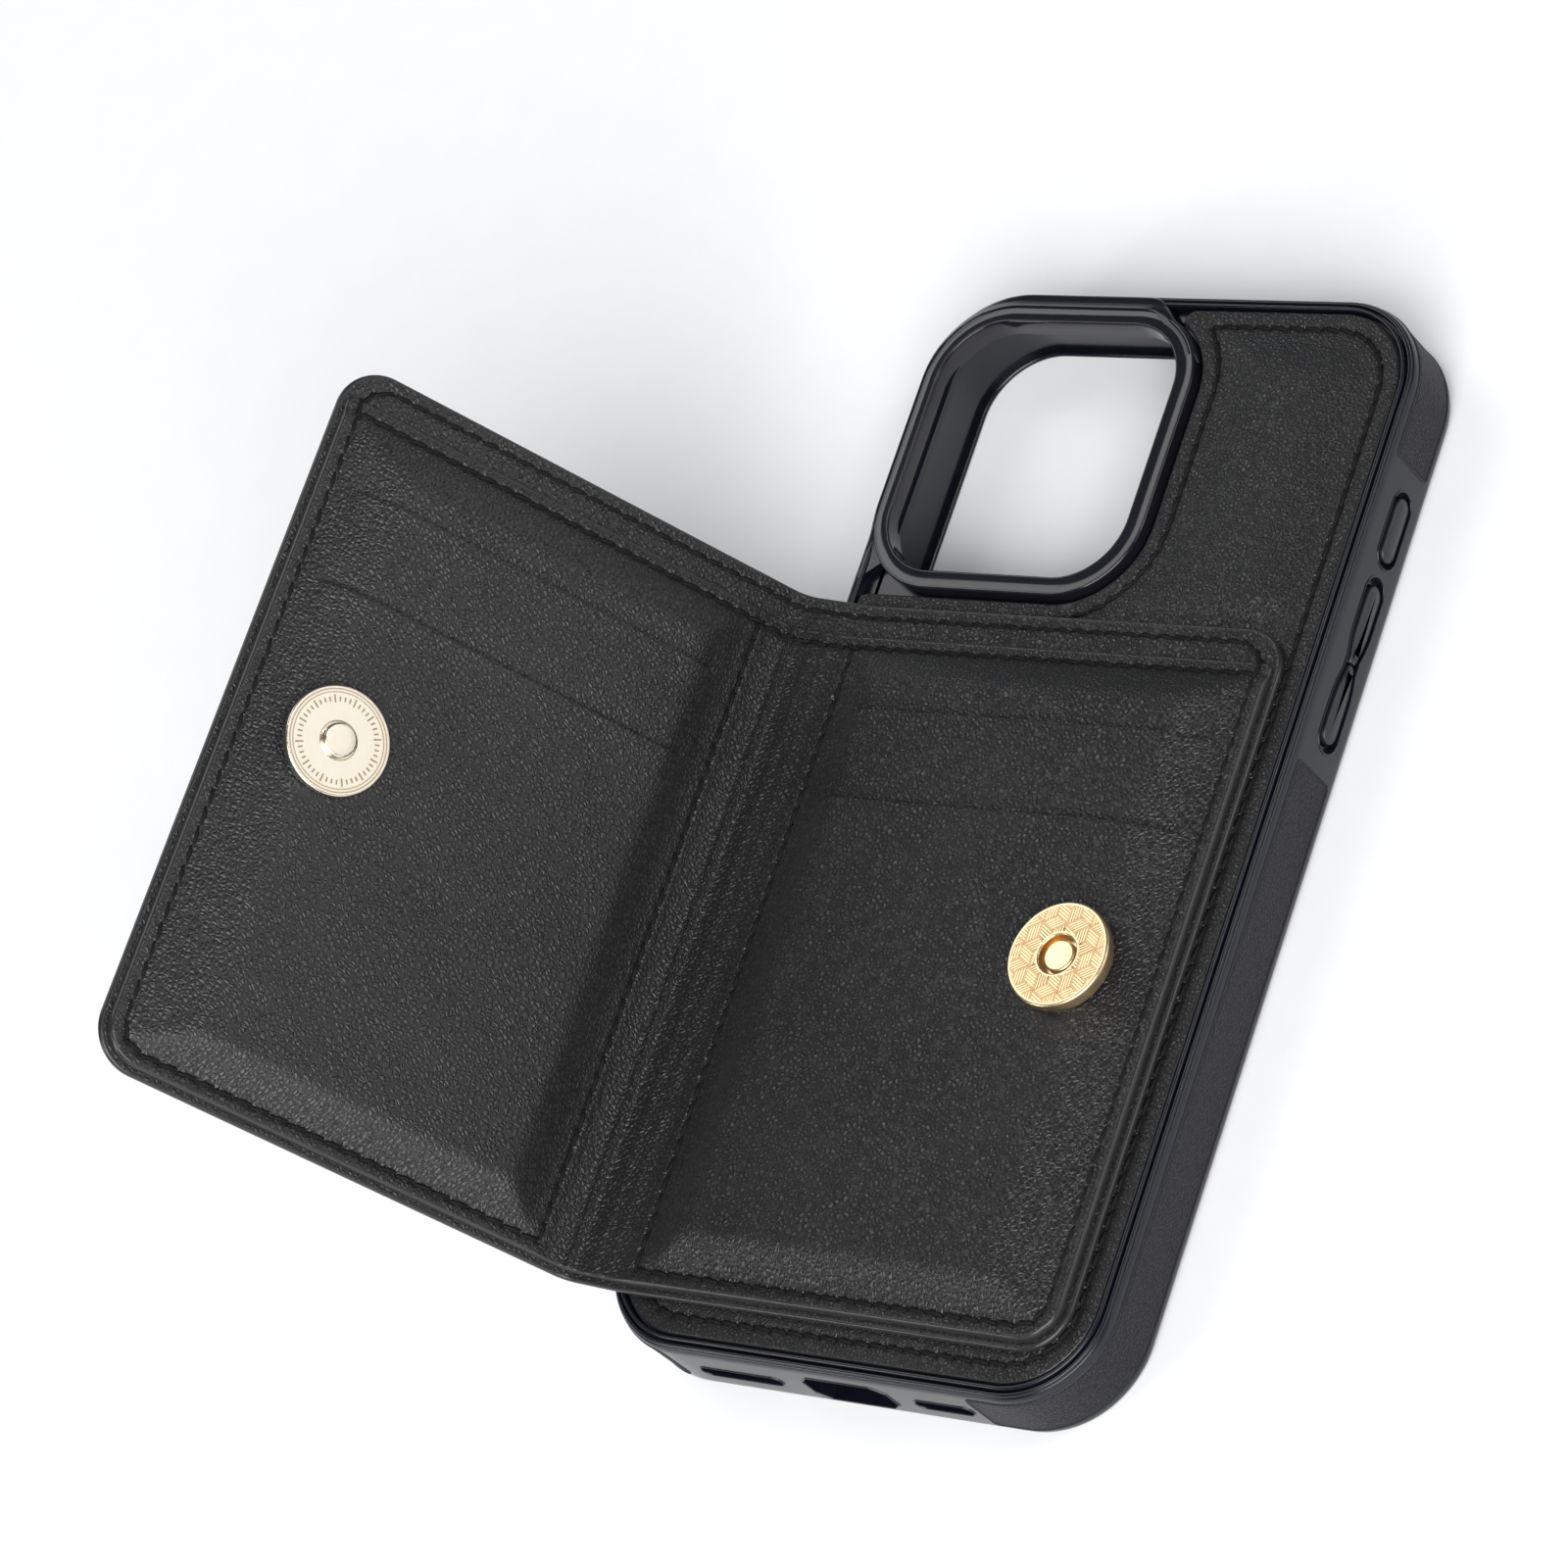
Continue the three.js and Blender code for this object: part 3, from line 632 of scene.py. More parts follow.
class Panel:
    """One half of the wallet: a padded panel with half of the spine. u runs outwards from its fold."""

    def __init__(self, name, bodies, direction, fold_at, spine_seam, blend):
        self.name = name
        self.bodies = bodies
        self.direction = direction
        self.fold_at = fold_at
        self.spine_seam = spine_seam
        self.blend = blend
        self.start = (SPINE_MIDDLE - fold_at) * direction
        self.flip = direction > 0
        self.body = "flap" if direction > 0 else "case"

    def path(self, u):
        return self.fold_at + self.direction * u

    def place(self, flat):
        moved = np.array(flat, float)
        moved[..., 0] = self.path(moved[..., 0])
        return on_wallet(moved)

    def attach(self, obj):
        """Bakes the piece's placement into its mesh. The panel's bodies and the ends of the fold are passed
        on but not used.
        """
        ends = [tuple(on_wallet(np.array([t, 0.0, 0.0])) * MM) for t in self.blend]
        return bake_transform(obj, *self.bodies, start=ends[0], end=ends[1])


PANELS = [
    Panel("base", ("case", "spine"), -1, 0.0, 0.8, (-3.0, 4.5)),
    Panel("flap", ("spine", "flap"), 1, FLAP_START, 1.4, (7.5, FLAP_START + 1.5)),
]


def edge_distance(u, y, out, bottom, top, bottom_corner, top_corner):
    """Distance inwards from the panel's outer, lower and upper edges, with its outer corners rounded."""
    distance = np.minimum(np.minimum(out - u, y - bottom), top - y)
    for corner, centre_y, beyond in (
        (bottom_corner, bottom + bottom_corner, y < bottom + bottom_corner),
        (top_corner, top - top_corner, y > top - top_corner),
    ):
        in_corner = beyond & (u > out - corner)
        rounded = corner - np.hypot(u - (out - corner), y - centre_y)
        distance = np.where(in_corner, rounded, distance)
    return distance


def corner_rows(u, rows, out, bottom, top, bottom_corner, top_corner):
    """Moves the rows near the outer corners so that the first and last follow the rounded outline."""
    grid = np.broadcast_to(rows, (len(u), len(rows))).copy()
    for corner, edge, direction in ((bottom_corner, bottom, 1), (top_corner, top, -1)):
        reach = corner + 2.5
        into = np.clip(u - (out - corner), 0, corner)
        shift = corner - np.sqrt(np.clip(corner**2 - into**2, 0, None))
        offset = (grid - edge) * direction
        moved = shift[:, None] + offset * (reach - shift[:, None]) / reach
        grid = np.where(offset < reach, edge + direction * moved, grid)
    return grid


def corner_columns(out, corner, count=14):
    """Columns that space themselves evenly round the outer corners."""
    return out - corner + corner * np.sin(np.linspace(0, math.pi / 2, count + 1))


# ---------------- wallet seams


def border_seam(panel):
    """Stitches from the spine seam along the bottom, round the corner and up to the lining's top edge."""
    radius = LINING_CORNER - STITCH_INSET
    corner = arc_points((SEAM_OUT - radius, SEAM_BOTTOM + radius), radius, -90, 0)
    line = [(panel.spine_seam, SEAM_BOTTOM), *corner, (SEAM_OUT, LINING_TOP)]
    return evenly_along(np.array(line), PITCH)


def hem_seam(panel):
    """Stitches of the cover's top edge, from the lining's edge round the corner and along to the spine."""
    radius = PANEL_CORNER - HEM_INSET
    top = TOP - HEM_INSET
    corner = arc_points((SEAM_OUT - radius, top - radius), radius, 0, 90)
    line = [(SEAM_OUT, LINING_TOP + 0.2), *corner, (panel.start, top)]
    return evenly_along(np.array(line), PITCH)


def spine_seam(panel):
    return evenly_along(np.array([(panel.spine_seam, SEAM_BOTTOM), (panel.spine_seam, SEAM_TOP)]), PITCH)


def top_seam(panel):
    return evenly_along(np.array([(panel.start, SEAM_TOP), (SEAM_OUT, SEAM_TOP)]), PITCH)


# ---------------- wallet surfaces


def spine_height(t):
    """The lining across the spine: low beside the seams, with a pinched ridge along the crease."""
    ends = (PANELS[0].path(PANELS[0].spine_seam), PANELS[1].path(PANELS[1].spine_seam))
    dip = 0.35 * smooth((t - ends[0]) / 3) * smooth((ends[1] - t) / 2.0)
    ridge = 0.75 * hill(t - CREASE, 1.1)
    folds = 0.10 * hill(t - 5.6, 0.5) + 0.08 * hill(t - 3.4, 0.4)
    return BORDER - dip + ridge + folds


def padded_height(panel, u, y):
    """The front's surface, without slits or stitch holes."""
    thin_top = smooth(1 - (LINING_TOP - y) / 3.5)
    border = BORDER - (BORDER - TOP_BORDER) * thin_top
    ramps = [
        1.0,
        (SEAM_OUT - RAMP_START - u) / OUTER_RAMP,
        (y - SEAM_BOTTOM - RAMP_START) / BOTTOM_RAMP,
        1.25 * smooth((u - panel.spine_seam - 0.3) / SPINE_RAMP),
        (SEAM_TOP - RAMP_START - y) / TOP_RAMP,
    ]
    rise = soft_floor(soft_min(ramps, 0.09), 0.03)
    height = border + (PLATEAU - BORDER) * rise + 0.07 * rise * uneven(u, y, 16)
    spine = spine_height(panel.path(u)) - (BORDER - border)
    grooves = hill(u - panel.spine_seam, GROOVE_WIDTH) * (y > SEAM_BOTTOM - 0.3)
    grooves += hill(y - SEAM_TOP, GROOVE_WIDTH)
    edge = edge_distance(u, y, *LINING_EDGES)
    grooves += hill(edge - STITCH_INSET, GROOVE_WIDTH) * (u > panel.spine_seam) * (y < SEAM_TOP)
    return np.where(u < panel.spine_seam, spine, height) - GROOVE_DEPTH * np.clip(grooves, 0, 1)



def slit_opening(u):
    return smooth((u - SLIT_START) / SLIT_FADE) * smooth((SLIT_END - u) / SLIT_FADE)


def slit_lift(u, y):
    """The leather below each slit stands up a little at its free edge, and that above it dips under."""
    lift = np.zeros(np.broadcast(u, y).shape)
    for slit in SLITS:
        below = 0.42 * np.exp(-np.clip(slit - y, 0, None) / 4.5) * (y <= slit)
        above = -0.5 * np.exp(-np.clip(y - slit, 0, None) / 3.0) * (y > slit)
        lift += below + above
    return lift * slit_opening(u)


# Section of a slit as (along, height), from its free edge round and under to the leather coming out above it.
SLIT_SECTION = [
    (0.07, 0.36), (0.14, 0.22), (0.16, 0.05), (0.12, -0.1), (0.0, -0.17), (-0.6, -0.2), (-4.0, -0.26),
    (-7.6, -0.3), (-8.0, -0.4), (-7.6, -0.5), (-4.0, -0.52), (-0.6, -0.5),
]


def front_rows():
    """Rows across the front: each is (y, slit number or -1, along, height)."""
    bottom, top = LINING_BOTTOM, LINING_TOP
    lower, upper = SLITS
    parts = [
        graded((bottom, FINE), (bottom + EDGE_BAND, 0.3), (SEAM_BOTTOM - NEAR_SEAM, 0.22),
               (SEAM_BOTTOM + NEAR_SEAM, 0.4), (SEAM_BOTTOM + 6, 0.65), (lower - 3, 0.4), (lower - 0.1, 0)),
        graded((lower + 0.1, 0.4), (lower + 3, 0.65), (upper - 3, 0.4), (upper - 0.1, 0)),
        graded((upper + 0.1, 0.4), (upper + 3, 0.55), (SEAM_TOP - NEAR_SEAM, 0.22),
               (SEAM_TOP + NEAR_SEAM, 0.3), (top - EDGE_BAND, FINE), (top, 0)),
    ]
    rows = []
    for number, part in enumerate(parts):
        rows += [(y, -1, 0.0, 0.0) for y in part]
        if number < len(SLITS):
            rows += [(SLITS[number], number, along_y, height) for along_y, height in SLIT_SECTION]
    return rows


def front_columns(panel):
    """Columns across the front, closer at the seams. The last ones follow the rounded corners."""
    seam = panel.spine_seam
    outer = corner_columns(LINING_OUT, LINING_CORNER)
    columns = np.concatenate([
        graded((panel.start, 0.35), (seam - NEAR_SEAM, 0.2), (seam + NEAR_SEAM, 0.45), (seam + 8, 0.62),
               (SEAM_OUT - 9, 0.5), (SEAM_OUT - NEAR_SEAM, 0.22), (SEAM_OUT - 0.4, 0)),
        outer[outer > LINING_OUT - 1],
    ])
    return np.unique(columns.round(4))


def open_slits(panel, rows, columns, y, surface):
    """Lays each slit's rows along its section where it is open, and close together where it is shut."""
    opening = slit_opening(columns)
    for number, (slit_y, slit, along_y, height) in enumerate(rows):
        if slit < 0:
            continue
        step = number - next(i for i, row in enumerate(rows) if row[1] == slit)
        from_middle = step - (len(SLIT_SECTION) - 1) / 2
        y[:, number] = slit_y + opening * along_y + (1 - opening) * from_middle * SLIT_ROW_GAP
        surface[:, number] = padded_height(panel, columns, np.full(len(columns), slit_y)) + opening * height


def leather_sheet(panel, part, top, bottom, edge):
    """A sheet of the wallet's leather laid along its panel's bent path. The grain fades out at the painted
    edge.
    """
    painted = smooth(1.3 - edge / 0.55)
    name = f"{panel.name}_{part}"
    obj = closed_sheet(name, top, bottom, panel.place, painted, panel.flip, cut_start=True)
    return panel.attach(finish_piece(obj, LEATHER))


def front_piece(panel):
    """The padded front of one panel with its half of the spine lining."""
    rows = front_rows()
    columns = front_columns(panel)
    u = np.broadcast_to(columns[:, None], (len(columns), len(rows)))
    y = corner_rows(columns, np.array([row[0] for row in rows]), *LINING_EDGES)
    edge = edge_distance(u, y, *LINING_EDGES)
    surface = padded_height(panel, u, y) + slit_lift(u, y)
    open_slits(panel, rows, columns, y, surface)
    top = np.stack([u, y, LINING_LOW + (surface - LINING_LOW) * round_edge(edge, LINING_EDGE)], axis=-1)
    holes = np.vstack([border_seam(panel), spine_seam(panel), top_seam(panel)])
    top = with_dimples(top, holes, 0.42, DIMPLE_RADIUS)
    room, room_start = BOARD_ROOM
    hollow = smooth((edge - room_start) / 0.5) * smooth((u - room_start) / 0.5)
    bottom = np.stack([u, y, LINING_LOW + (room - LINING_LOW) * hollow], axis=-1)
    obj = leather_sheet(panel, "padded_front", top, bottom, edge)
    return obj



def cover_piece(panel):
    """The outer leather of one panel with its half of the spine."""
    rows = graded((BOTTOM, FINE), (BOTTOM + EDGE_BAND, 0.3), (BOTTOM + 4, 0.8), (TOP - 6, 0.3),
                  (TOP - EDGE_BAND, FINE), (TOP, 0))
    corner_start = PANEL_WIDTH - PANEL_CORNER
    columns = np.concatenate([
        graded((panel.start, 0.5), (panel.start + 11, 0.9), (corner_start - 2, 0.4), (corner_start, 0)),
        corner_columns(PANEL_WIDTH, PANEL_CORNER, 18)[1:],
        PANEL_WIDTH - np.array([0.03, 0.1, 0.2, 0.3]),
    ])
    columns = np.unique(columns.round(4))
    u = np.broadcast_to(columns[:, None], (len(columns), len(rows)))
    y = corner_rows(columns, rows, *COVER_EDGES)
    edge = edge_distance(u, y, *COVER_EDGES)
    rounding = round_edge(edge, COVER_EDGE)
    middle = (COVER_LOW + COVER_HIGH) / 2
    groove = 0.12 * hill(edge - LINING_INSET - STITCH_INSET, 0.6) * (u > panel.spine_seam)
    outer = COVER_LOW + groove - 0.05 * smooth((edge - 4) / 8) * (1 + uneven(u, y, 30))
    top = np.stack([u, y, middle + (COVER_HIGH - middle) * rounding], axis=-1)
    bottom = np.stack([u, y, middle + (outer - middle) * rounding], axis=-1)
    top = with_dimples(top, hem_seam(panel), 0.32, 0.42)
    return leather_sheet(panel, "cover_leather", top, bottom, edge)


# ---------------- stitches


STITCH_SHARE = np.linspace(0.04, 0.96, 9)[:, None]  # rings along a stitch, from hole to hole
STITCH_TURN = np.linspace(0, 2 * math.pi, 8, endpoint=False)


def unit(vectors):
    return vectors / np.linalg.norm(vectors, axis=-1, keepdims=True)


def stitch_lines(holes, height_at, facing, rise=0.26, sink=0.2, slant=0.14):
    """Flat middle line of each stitch: a little aslant, and standing up between its two holes."""
    step = np.diff(holes, axis=0)[:, None]
    side = unit(np.stack([-step[..., 1], step[..., 0]], axis=-1))
    middle = holes[:-1, None] + step * STITCH_SHARE + side * slant * (1 - 2 * STITCH_SHARE)
    height = height_at(middle[..., 0], middle[..., 1])[..., None]
    height = height + facing * (rise * np.sin(math.pi * STITCH_SHARE) - sink)
    return np.concatenate([middle, height], axis=-1)


def thread_rings(flat, place, facing, radius=0.3):
    """Rings of twisted thread round the middle line of each stitch."""
    line = place(flat)
    up = place(flat + np.array([0, 0, 0.2 * facing])) - line
    tangent = np.gradient(line, axis=1)
    across = unit(np.cross(tangent, up))
    up = unit(np.cross(across, tangent))
    thick = radius * (0.55 + 0.45 * np.sin(math.pi * STITCH_SHARE) ** 0.5)
    thick = thick * (1 + 0.2 * np.cos(2 * (STITCH_TURN - 7 * STITCH_SHARE)))
    cosine, sine = np.cos(STITCH_TURN)[:, None], np.sin(STITCH_TURN)[:, None]
    return line[:, :, None] + thick[..., None] * (cosine * across[:, :, None] + sine * up[:, :, None])


def stitches(name, seams, place, facing=1):
    """One twisted stitch between each two holes of each seam, which is (holes, height_at(x, y))."""
    flat = np.concatenate([stitch_lines(holes, height_at, facing) for holes, height_at in seams])
    points = thread_rings(flat, place, facing)
    faces = []
    for stitch in np.arange(points[..., 0].size).reshape(points.shape[:3]):
        faces += grid_faces(np.hstack([stitch, stitch[:, :1]]), flip=True)
        faces += [stitch[0].tolist(), stitch[-1][::-1].tolist()]
    flat = np.broadcast_to(flat[:, :, None], points.shape).reshape(-1, 3)
    obj = add_object(name, points.reshape(-1, 3), faces, flat, sharp_degrees=80)
    obj.data.materials.append(THREAD)
    return obj


def level(height):
    """The surface under a seam that lies at one height."""
    return lambda x, y: np.full(np.shape(x), height)


def panel_stitches(panel):
    def on_front(u, y):
        return padded_height(panel, u, y)

    front = [(seam(panel), on_front) for seam in (border_seam, spine_seam, top_seam)]
    hem = [(hem_seam(panel), level(COVER_HIGH))]
    for part, seams in (("front", front), ("hem", hem)):
        obj = stitches(f"{panel.name}_{part}_stitches", seams, panel.place)
        panel.attach(obj)


def board_piece(panel):
    """The stiffening board between the cover and the cash pocket."""
    low = np.array([BOARD_INSET, BOTTOM + BOARD_INSET])
    high = np.array([PANEL_WIDTH - BOARD_INSET, TOP - BOARD_TOP_INSET])

    def outline(inset):
        return rounded_outline((low + high) / 2, (high - low) / 2 - inset, [BOARD_CORNER] * 4)

    obj = swept(f"{panel.name}_stiff_board", outline, BOARD_SECTION, panel.place, solid=True)
    if not panel.flip:
        obj.data.flip_normals()
    finish_piece(obj, BOARD)
    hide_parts(f"{panel.name}_board")
    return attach(obj, panel.body)


def outer_stitches(panel):
    """The same seams where they come out on the outside of the flap."""
    seams = [(seam(panel), level(COVER_LOW)) for seam in (border_seam, hem_seam, spine_seam)]
    obj = stitches(f"{panel.name}_outer_stitches", seams, panel.place, facing=-1)
    return panel.attach(obj)


# ---------------- magnetic snap

SNAP_CENTRE = (52.4, BOTTOM + (TOP - BOTTOM) / 2 + 0.2)  # across from the fold, along the panel
SNAP_RADIUS = 7.3
SNAP_SEAT = 4.4  # underside of both halves, just inside the padded leather
SOCKET_TOP, SOCKET_HOLE, RIVET_RADIUS = 6.65, 2.75, 2.25
PLATE_TOP, POST_RADIUS = 5.85, 2.3
RIVET_TOP, POST_TOP = 6.2, 6.6  # together less than the gap between the two fold planes when closed
PIN_EDGE = 0.35  # rounding of the rivet's and the post's top
FACE_STEP = 0.09  # spacing of the rings that carry the engraving
LINE_WIDTH = 0.05
TICKS = 48


def radial(start, end, height):
    count = math.ceil(abs(end - start) / FACE_STEP) + 1
    return [(radius, height) for radius in np.linspace(start, end, count)]


def fillet(radius_at, height_at, size, start, end, steps=4):
    """A rounded edge of a turned profile, centred at (radius_at, height_at)."""
    angles = np.radians(np.linspace(start, end, steps + 1))
    return [(radius_at + size * math.cos(a), height_at + size * math.sin(a)) for a in angles]


def line_mark(distance, width):
    return np.clip(1.6 - np.abs(distance) / width, 0, 1)


def cube_hatching(x, y, size=3.6, hatch=0.36):
    """Hexagons each split into three diamonds, with the diamonds hatched in three directions."""
    rows = size * math.sqrt(3) / 2
    best = np.full(x.shape, np.inf)
    local_x, local_y = np.zeros_like(x), np.zeros_like(y)
    for shift_x, shift_y in ((0, 0), (size / 2, rows)):
        near_x = x - shift_x - size * np.round((x - shift_x) / size)
        near_y = y - shift_y - 2 * rows * np.round((y - shift_y) / (2 * rows))
        distance = np.hypot(near_x, near_y)
        closer = distance < best
        best = np.where(closer, distance, best)
        local_x, local_y = np.where(closer, near_x, local_x), np.where(closer, near_y, local_y)
    sector = np.floor((np.degrees(np.arctan2(local_y, local_x)) - 30) % 360 / 120)
    marks = np.zeros_like(x)
    for number in range(3):
        spoke = math.radians(30 + 120 * number)
        across_spoke = local_x * math.sin(spoke) - local_y * math.cos(spoke)
        along_spoke = local_x * math.cos(spoke) + local_y * math.sin(spoke)
        marks = np.maximum(marks, line_mark(across_spoke, LINE_WIDTH) * (along_spoke > 0))
        phase = (across_spoke / hatch) % 1 - 0.5
        marks = np.maximum(marks, line_mark(phase * hatch, 0.06) * (sector == number))
    for number in range(6):
        facing = math.radians(60 * number)
        rim = size / 2 - (local_x * math.cos(facing) + local_y * math.sin(facing))
        marks = np.maximum(marks, line_mark(rim, LINE_WIDTH))
    return marks


def socket_engraving(x, y, height):
    radius = np.hypot(x, y)
    face = (radius < SNAP_RADIUS - 0.55) & (radius > SOCKET_HOLE + 0.35) & (height > SOCKET_TOP - 0.1)
    return cube_hatching(x, y) * face


def plate_engraving(x, y, height):
    """Two fine circles near the edge and a ring of plain ticks, every fourth one longer."""
    radius = np.hypot(x, y)
    turn = np.arctan2(y, x) / (2 * math.pi) * TICKS
    circles = np.maximum(line_mark(radius - 6.75, LINE_WIDTH), line_mark(radius - 6.35, LINE_WIDTH))
    aside = (turn % 1 - 0.5) * 2 * math.pi / TICKS * radius
    half_length = np.where(np.floor(turn) % 4 == 0, 0.55, 0.32)
    ticks = line_mark(aside, 0.09) * (np.abs(radius - 5.45) < half_length)
    return np.maximum(circles, ticks) * (height > PLATE_TOP - 0.1)


def disc(name, node, panel, profile, material, engraving=None, segments=96):
    obj = turned(name, profile, SNAP_CENTRE, panel.place, segments, engraving, panel.flip)
    finish_piece(obj, material)
    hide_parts(node)
    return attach(obj, panel.body)


def pin(radius, foot, top, flat_radius):
    """Profile of the rivet or the post: a pin with a rounded top edge."""
    edge = fillet(radius - PIN_EDGE, top - PIN_EDGE, PIN_EDGE, 0, 90, 6)
    return [(0, foot), (radius, foot), *edge, (flat_radius, top), (0, top)]


def socket_profile():
    """A disc with an open middle and a foot a little narrower than its rim."""
    edge, hole_edge, foot = 0.3, 0.2, SNAP_RADIUS - 0.35
    ledge = SNAP_SEAT + 0.8
    profile = [
        *fillet(SNAP_RADIUS - edge, SOCKET_TOP - edge, edge, 0, 90),
        *radial(SNAP_RADIUS - edge - FACE_STEP, SOCKET_HOLE + 0.25, SOCKET_TOP),
        *fillet(SOCKET_HOLE + hole_edge, SOCKET_TOP - hole_edge, hole_edge, 90, 180),
        (SOCKET_HOLE, ledge),
        (SOCKET_HOLE - 0.5, ledge),
        (SOCKET_HOLE - 0.5, SNAP_SEAT),
        (foot, SNAP_SEAT),
        (foot, SNAP_SEAT + 0.7),
        (SNAP_RADIUS, SNAP_SEAT + 0.85),
    ]
    return profile[::-1]


def plate_profile():
    """A thin plate, slightly sunk in the middle where the post stands."""
    edge, sunk = 0.25, 0.2
    return [
        (0, SNAP_SEAT),
        (SNAP_RADIUS - 0.2, SNAP_SEAT),
        (SNAP_RADIUS, SNAP_SEAT + 0.3),
        *fillet(SNAP_RADIUS - edge, PLATE_TOP - edge, edge, 0, 90),
        *radial(SNAP_RADIUS - edge - FACE_STEP, POST_RADIUS + 0.35, PLATE_TOP),
        (POST_RADIUS + 0.2, PLATE_TOP - 0.18),
        (POST_RADIUS - 0.4, PLATE_TOP - sunk),
        (0, PLATE_TOP - sunk),
    ]


def snap_pieces():
    base, flap = PANELS
    rivet = pin(RIVET_RADIUS, SNAP_SEAT + 0.4, RIVET_TOP, 0.9)
    post = pin(POST_RADIUS, SNAP_SEAT + 0.2, POST_TOP, 1.0)
    disc("snap_socket", "snap_socket_shell", base, socket_profile(), GOLD, socket_engraving, 480)
    disc("snap_rivet", "snap_socket_rivet", base, rivet, GOLD)
    disc("snap_plate", "snap_stud_plate", flap, plate_profile(), PALE_GOLD, plate_engraving, 480)
    disc("snap_post", "snap_stud_post", flap, post, PALE_GOLD)


# ---------------- case walls

PLATE_HIGH = 1.1  # top of the flat plate behind the back leather
CAVITY_FLOOR = FLOOR + 1.05
RIM_INSET = WALL + 0.8
WALL_MIDDLE = -4.1
RIDGE_SIZE = 0.3  # radius of the two fine ridges on the lip
NECK_LENGTH = 2.6
WALL_LINE = case_outline(0, 24, 0.5)
WALL_LENGTHS = path_lengths(WALL_LINE, closed=True)


def bumper_profile():
    """Section of the bumper's wall: rounded front edge, side, shoulder, two ridges, back plate and cavity."""
    quarter = np.linspace(0, math.pi / 2, 8)
    foot = [(1.2 * (1 - math.sin(a)), FLOOR + 1.6 * (1 - math.cos(a))) for a in quarter]
    shoulder = [(0.42 * (1 - math.cos(a)), 0.7 + 1.35 * math.sin(a)) for a in quarter]
    first = arc_points((0.76, 2.16), RIDGE_SIZE, 185, 10, 8)
    second = arc_points((1.58, LIP_TOP - RIDGE_SIZE), RIDGE_SIZE, 170, 10, 8)
    groove = [(1.12, 1.8), (1.22, 1.8)]
    plate_end = RIM_INSET + 0.6
    plate = [(1.9, PLATE_HIGH), (plate_end, PLATE_HIGH), (plate_end, 0.0)]
    cavity = [(WALL + 0.5, 0.0), *arc_points((WALL + 0.5, -0.5), 0.5, 90, 180, 4)[1:]]
    rim = [(WALL, CAVITY_FLOOR), (RIM_INSET - 0.1, CAVITY_FLOOR)]
    lip = arc_points((RIM_INSET - 0.4, FLOOR + 0.4), 0.4, 60, -90, 6)
    return foot + shoulder + first + groove + second + plate + cavity + rim + lip


def on_side(turn_degrees, half):
    """Puts (along, height, outwards) on a flat side of the case. 0 is the right side, -90 the bottom."""
    turn = math.radians(turn_degrees)

    def place(flat):
        out, along_side, z = half + flat[..., 2], flat[..., 0], flat[..., 1]
        x = out * math.cos(turn) - along_side * math.sin(turn)
        y = out * math.sin(turn) + along_side * math.cos(turn)
        return np.stack([x, y, z], axis=-1)

    return place


def half_height(s, from_end, radius, neck):
    """Half height of a slot or a cover: round towards its end, and narrower at the neck in the middle."""
    cap = np.clip(1 - from_end / radius, 0, 1)
    return radius * np.sqrt(np.clip(1 - cap**2, 0.0004, 1)) - neck * hill(s, NECK_LENGTH)


def both_sides(along_side, half):
    """Closed outline from its half heights: along below the wall's middle and back above it."""
    lower = np.column_stack([along_side, WALL_MIDDLE - half])
    upper = np.column_stack([along_side, WALL_MIDDLE + half])
    return np.vstack([lower, upper[::-1]])


def pill(centre, length, height, neck=0.0, count=22):
    """Outline of a rounded slot on a side, as a function of inset; neck narrows its middle."""
    def outline(inset):
        half_length = length / 2 - inset
        s = half_length * -np.cos(np.linspace(0, math.pi, count))
        half = half_height(s, half_length - np.abs(s), height / 2 - inset, neck)
        return both_sides(centre + s, half)

    return outline


def lobe(centre, length, height, neck, split, upper, count=16):
    """Outline of one half of the volume cover, from the split in its neck to its rounded end."""
    def outline(inset):
        start, end = split / 2 + inset, length / 2 - inset
        s = start + (end - start) * (1 - np.cos(np.linspace(0, math.pi, count))) / 2
        half = half_height(s, end - s, height / 2 - inset, neck)
        half -= 0.25 * np.clip(1 - (s - start) / 0.4, 0, 1) ** 2
        if not upper:
            s, half = -s[::-1], half[::-1]
        return both_sides(centre + s, half)

    return outline


def chamfered(centre, width, height, cut_off):
    """Outline of a rectangle with its corners cut off, as a function of inset."""
    def outline(inset):
        w, h, c = width / 2 - inset, height / 2 - inset, cut_off - inset * 0.6
        corners = [(c - w, -h), (w - c, -h), (w, c - h), (w, h - c)]
        corners += [(-x, -y) for x, y in corners]
        return np.array([(centre + x, WALL_MIDDLE + y) for x, y in corners])

    return outline


RIGHT = on_side(0, HALF_WIDTH)
LEFT = on_side(180, HALF_WIDTH)
LOWER = on_side(-90, HALF_LENGTH)
THROUGH = -RIM_INSET - 1  # a cut this deep goes through the wall
WELL_DEPTH = 0.8  # of the hollow round a button cover

# Button covers: side, middle, length of the cover and of its well, and how far the well's middle narrows.
BUTTONS = [(RIGHT, 47.5, 9.2, 10.8, 0.0), (RIGHT, 28.0, 22.6, 25.0, 0.9), (LEFT, -28.0, 17.0, 19.0, 0.0)]
COVER_HEIGHT, WELL_HEIGHT, SLOT_HEIGHT = 3.1, 4.5, 3.6
ACTION, VOLUME, POWER = (button[1:3] for button in BUTTONS)

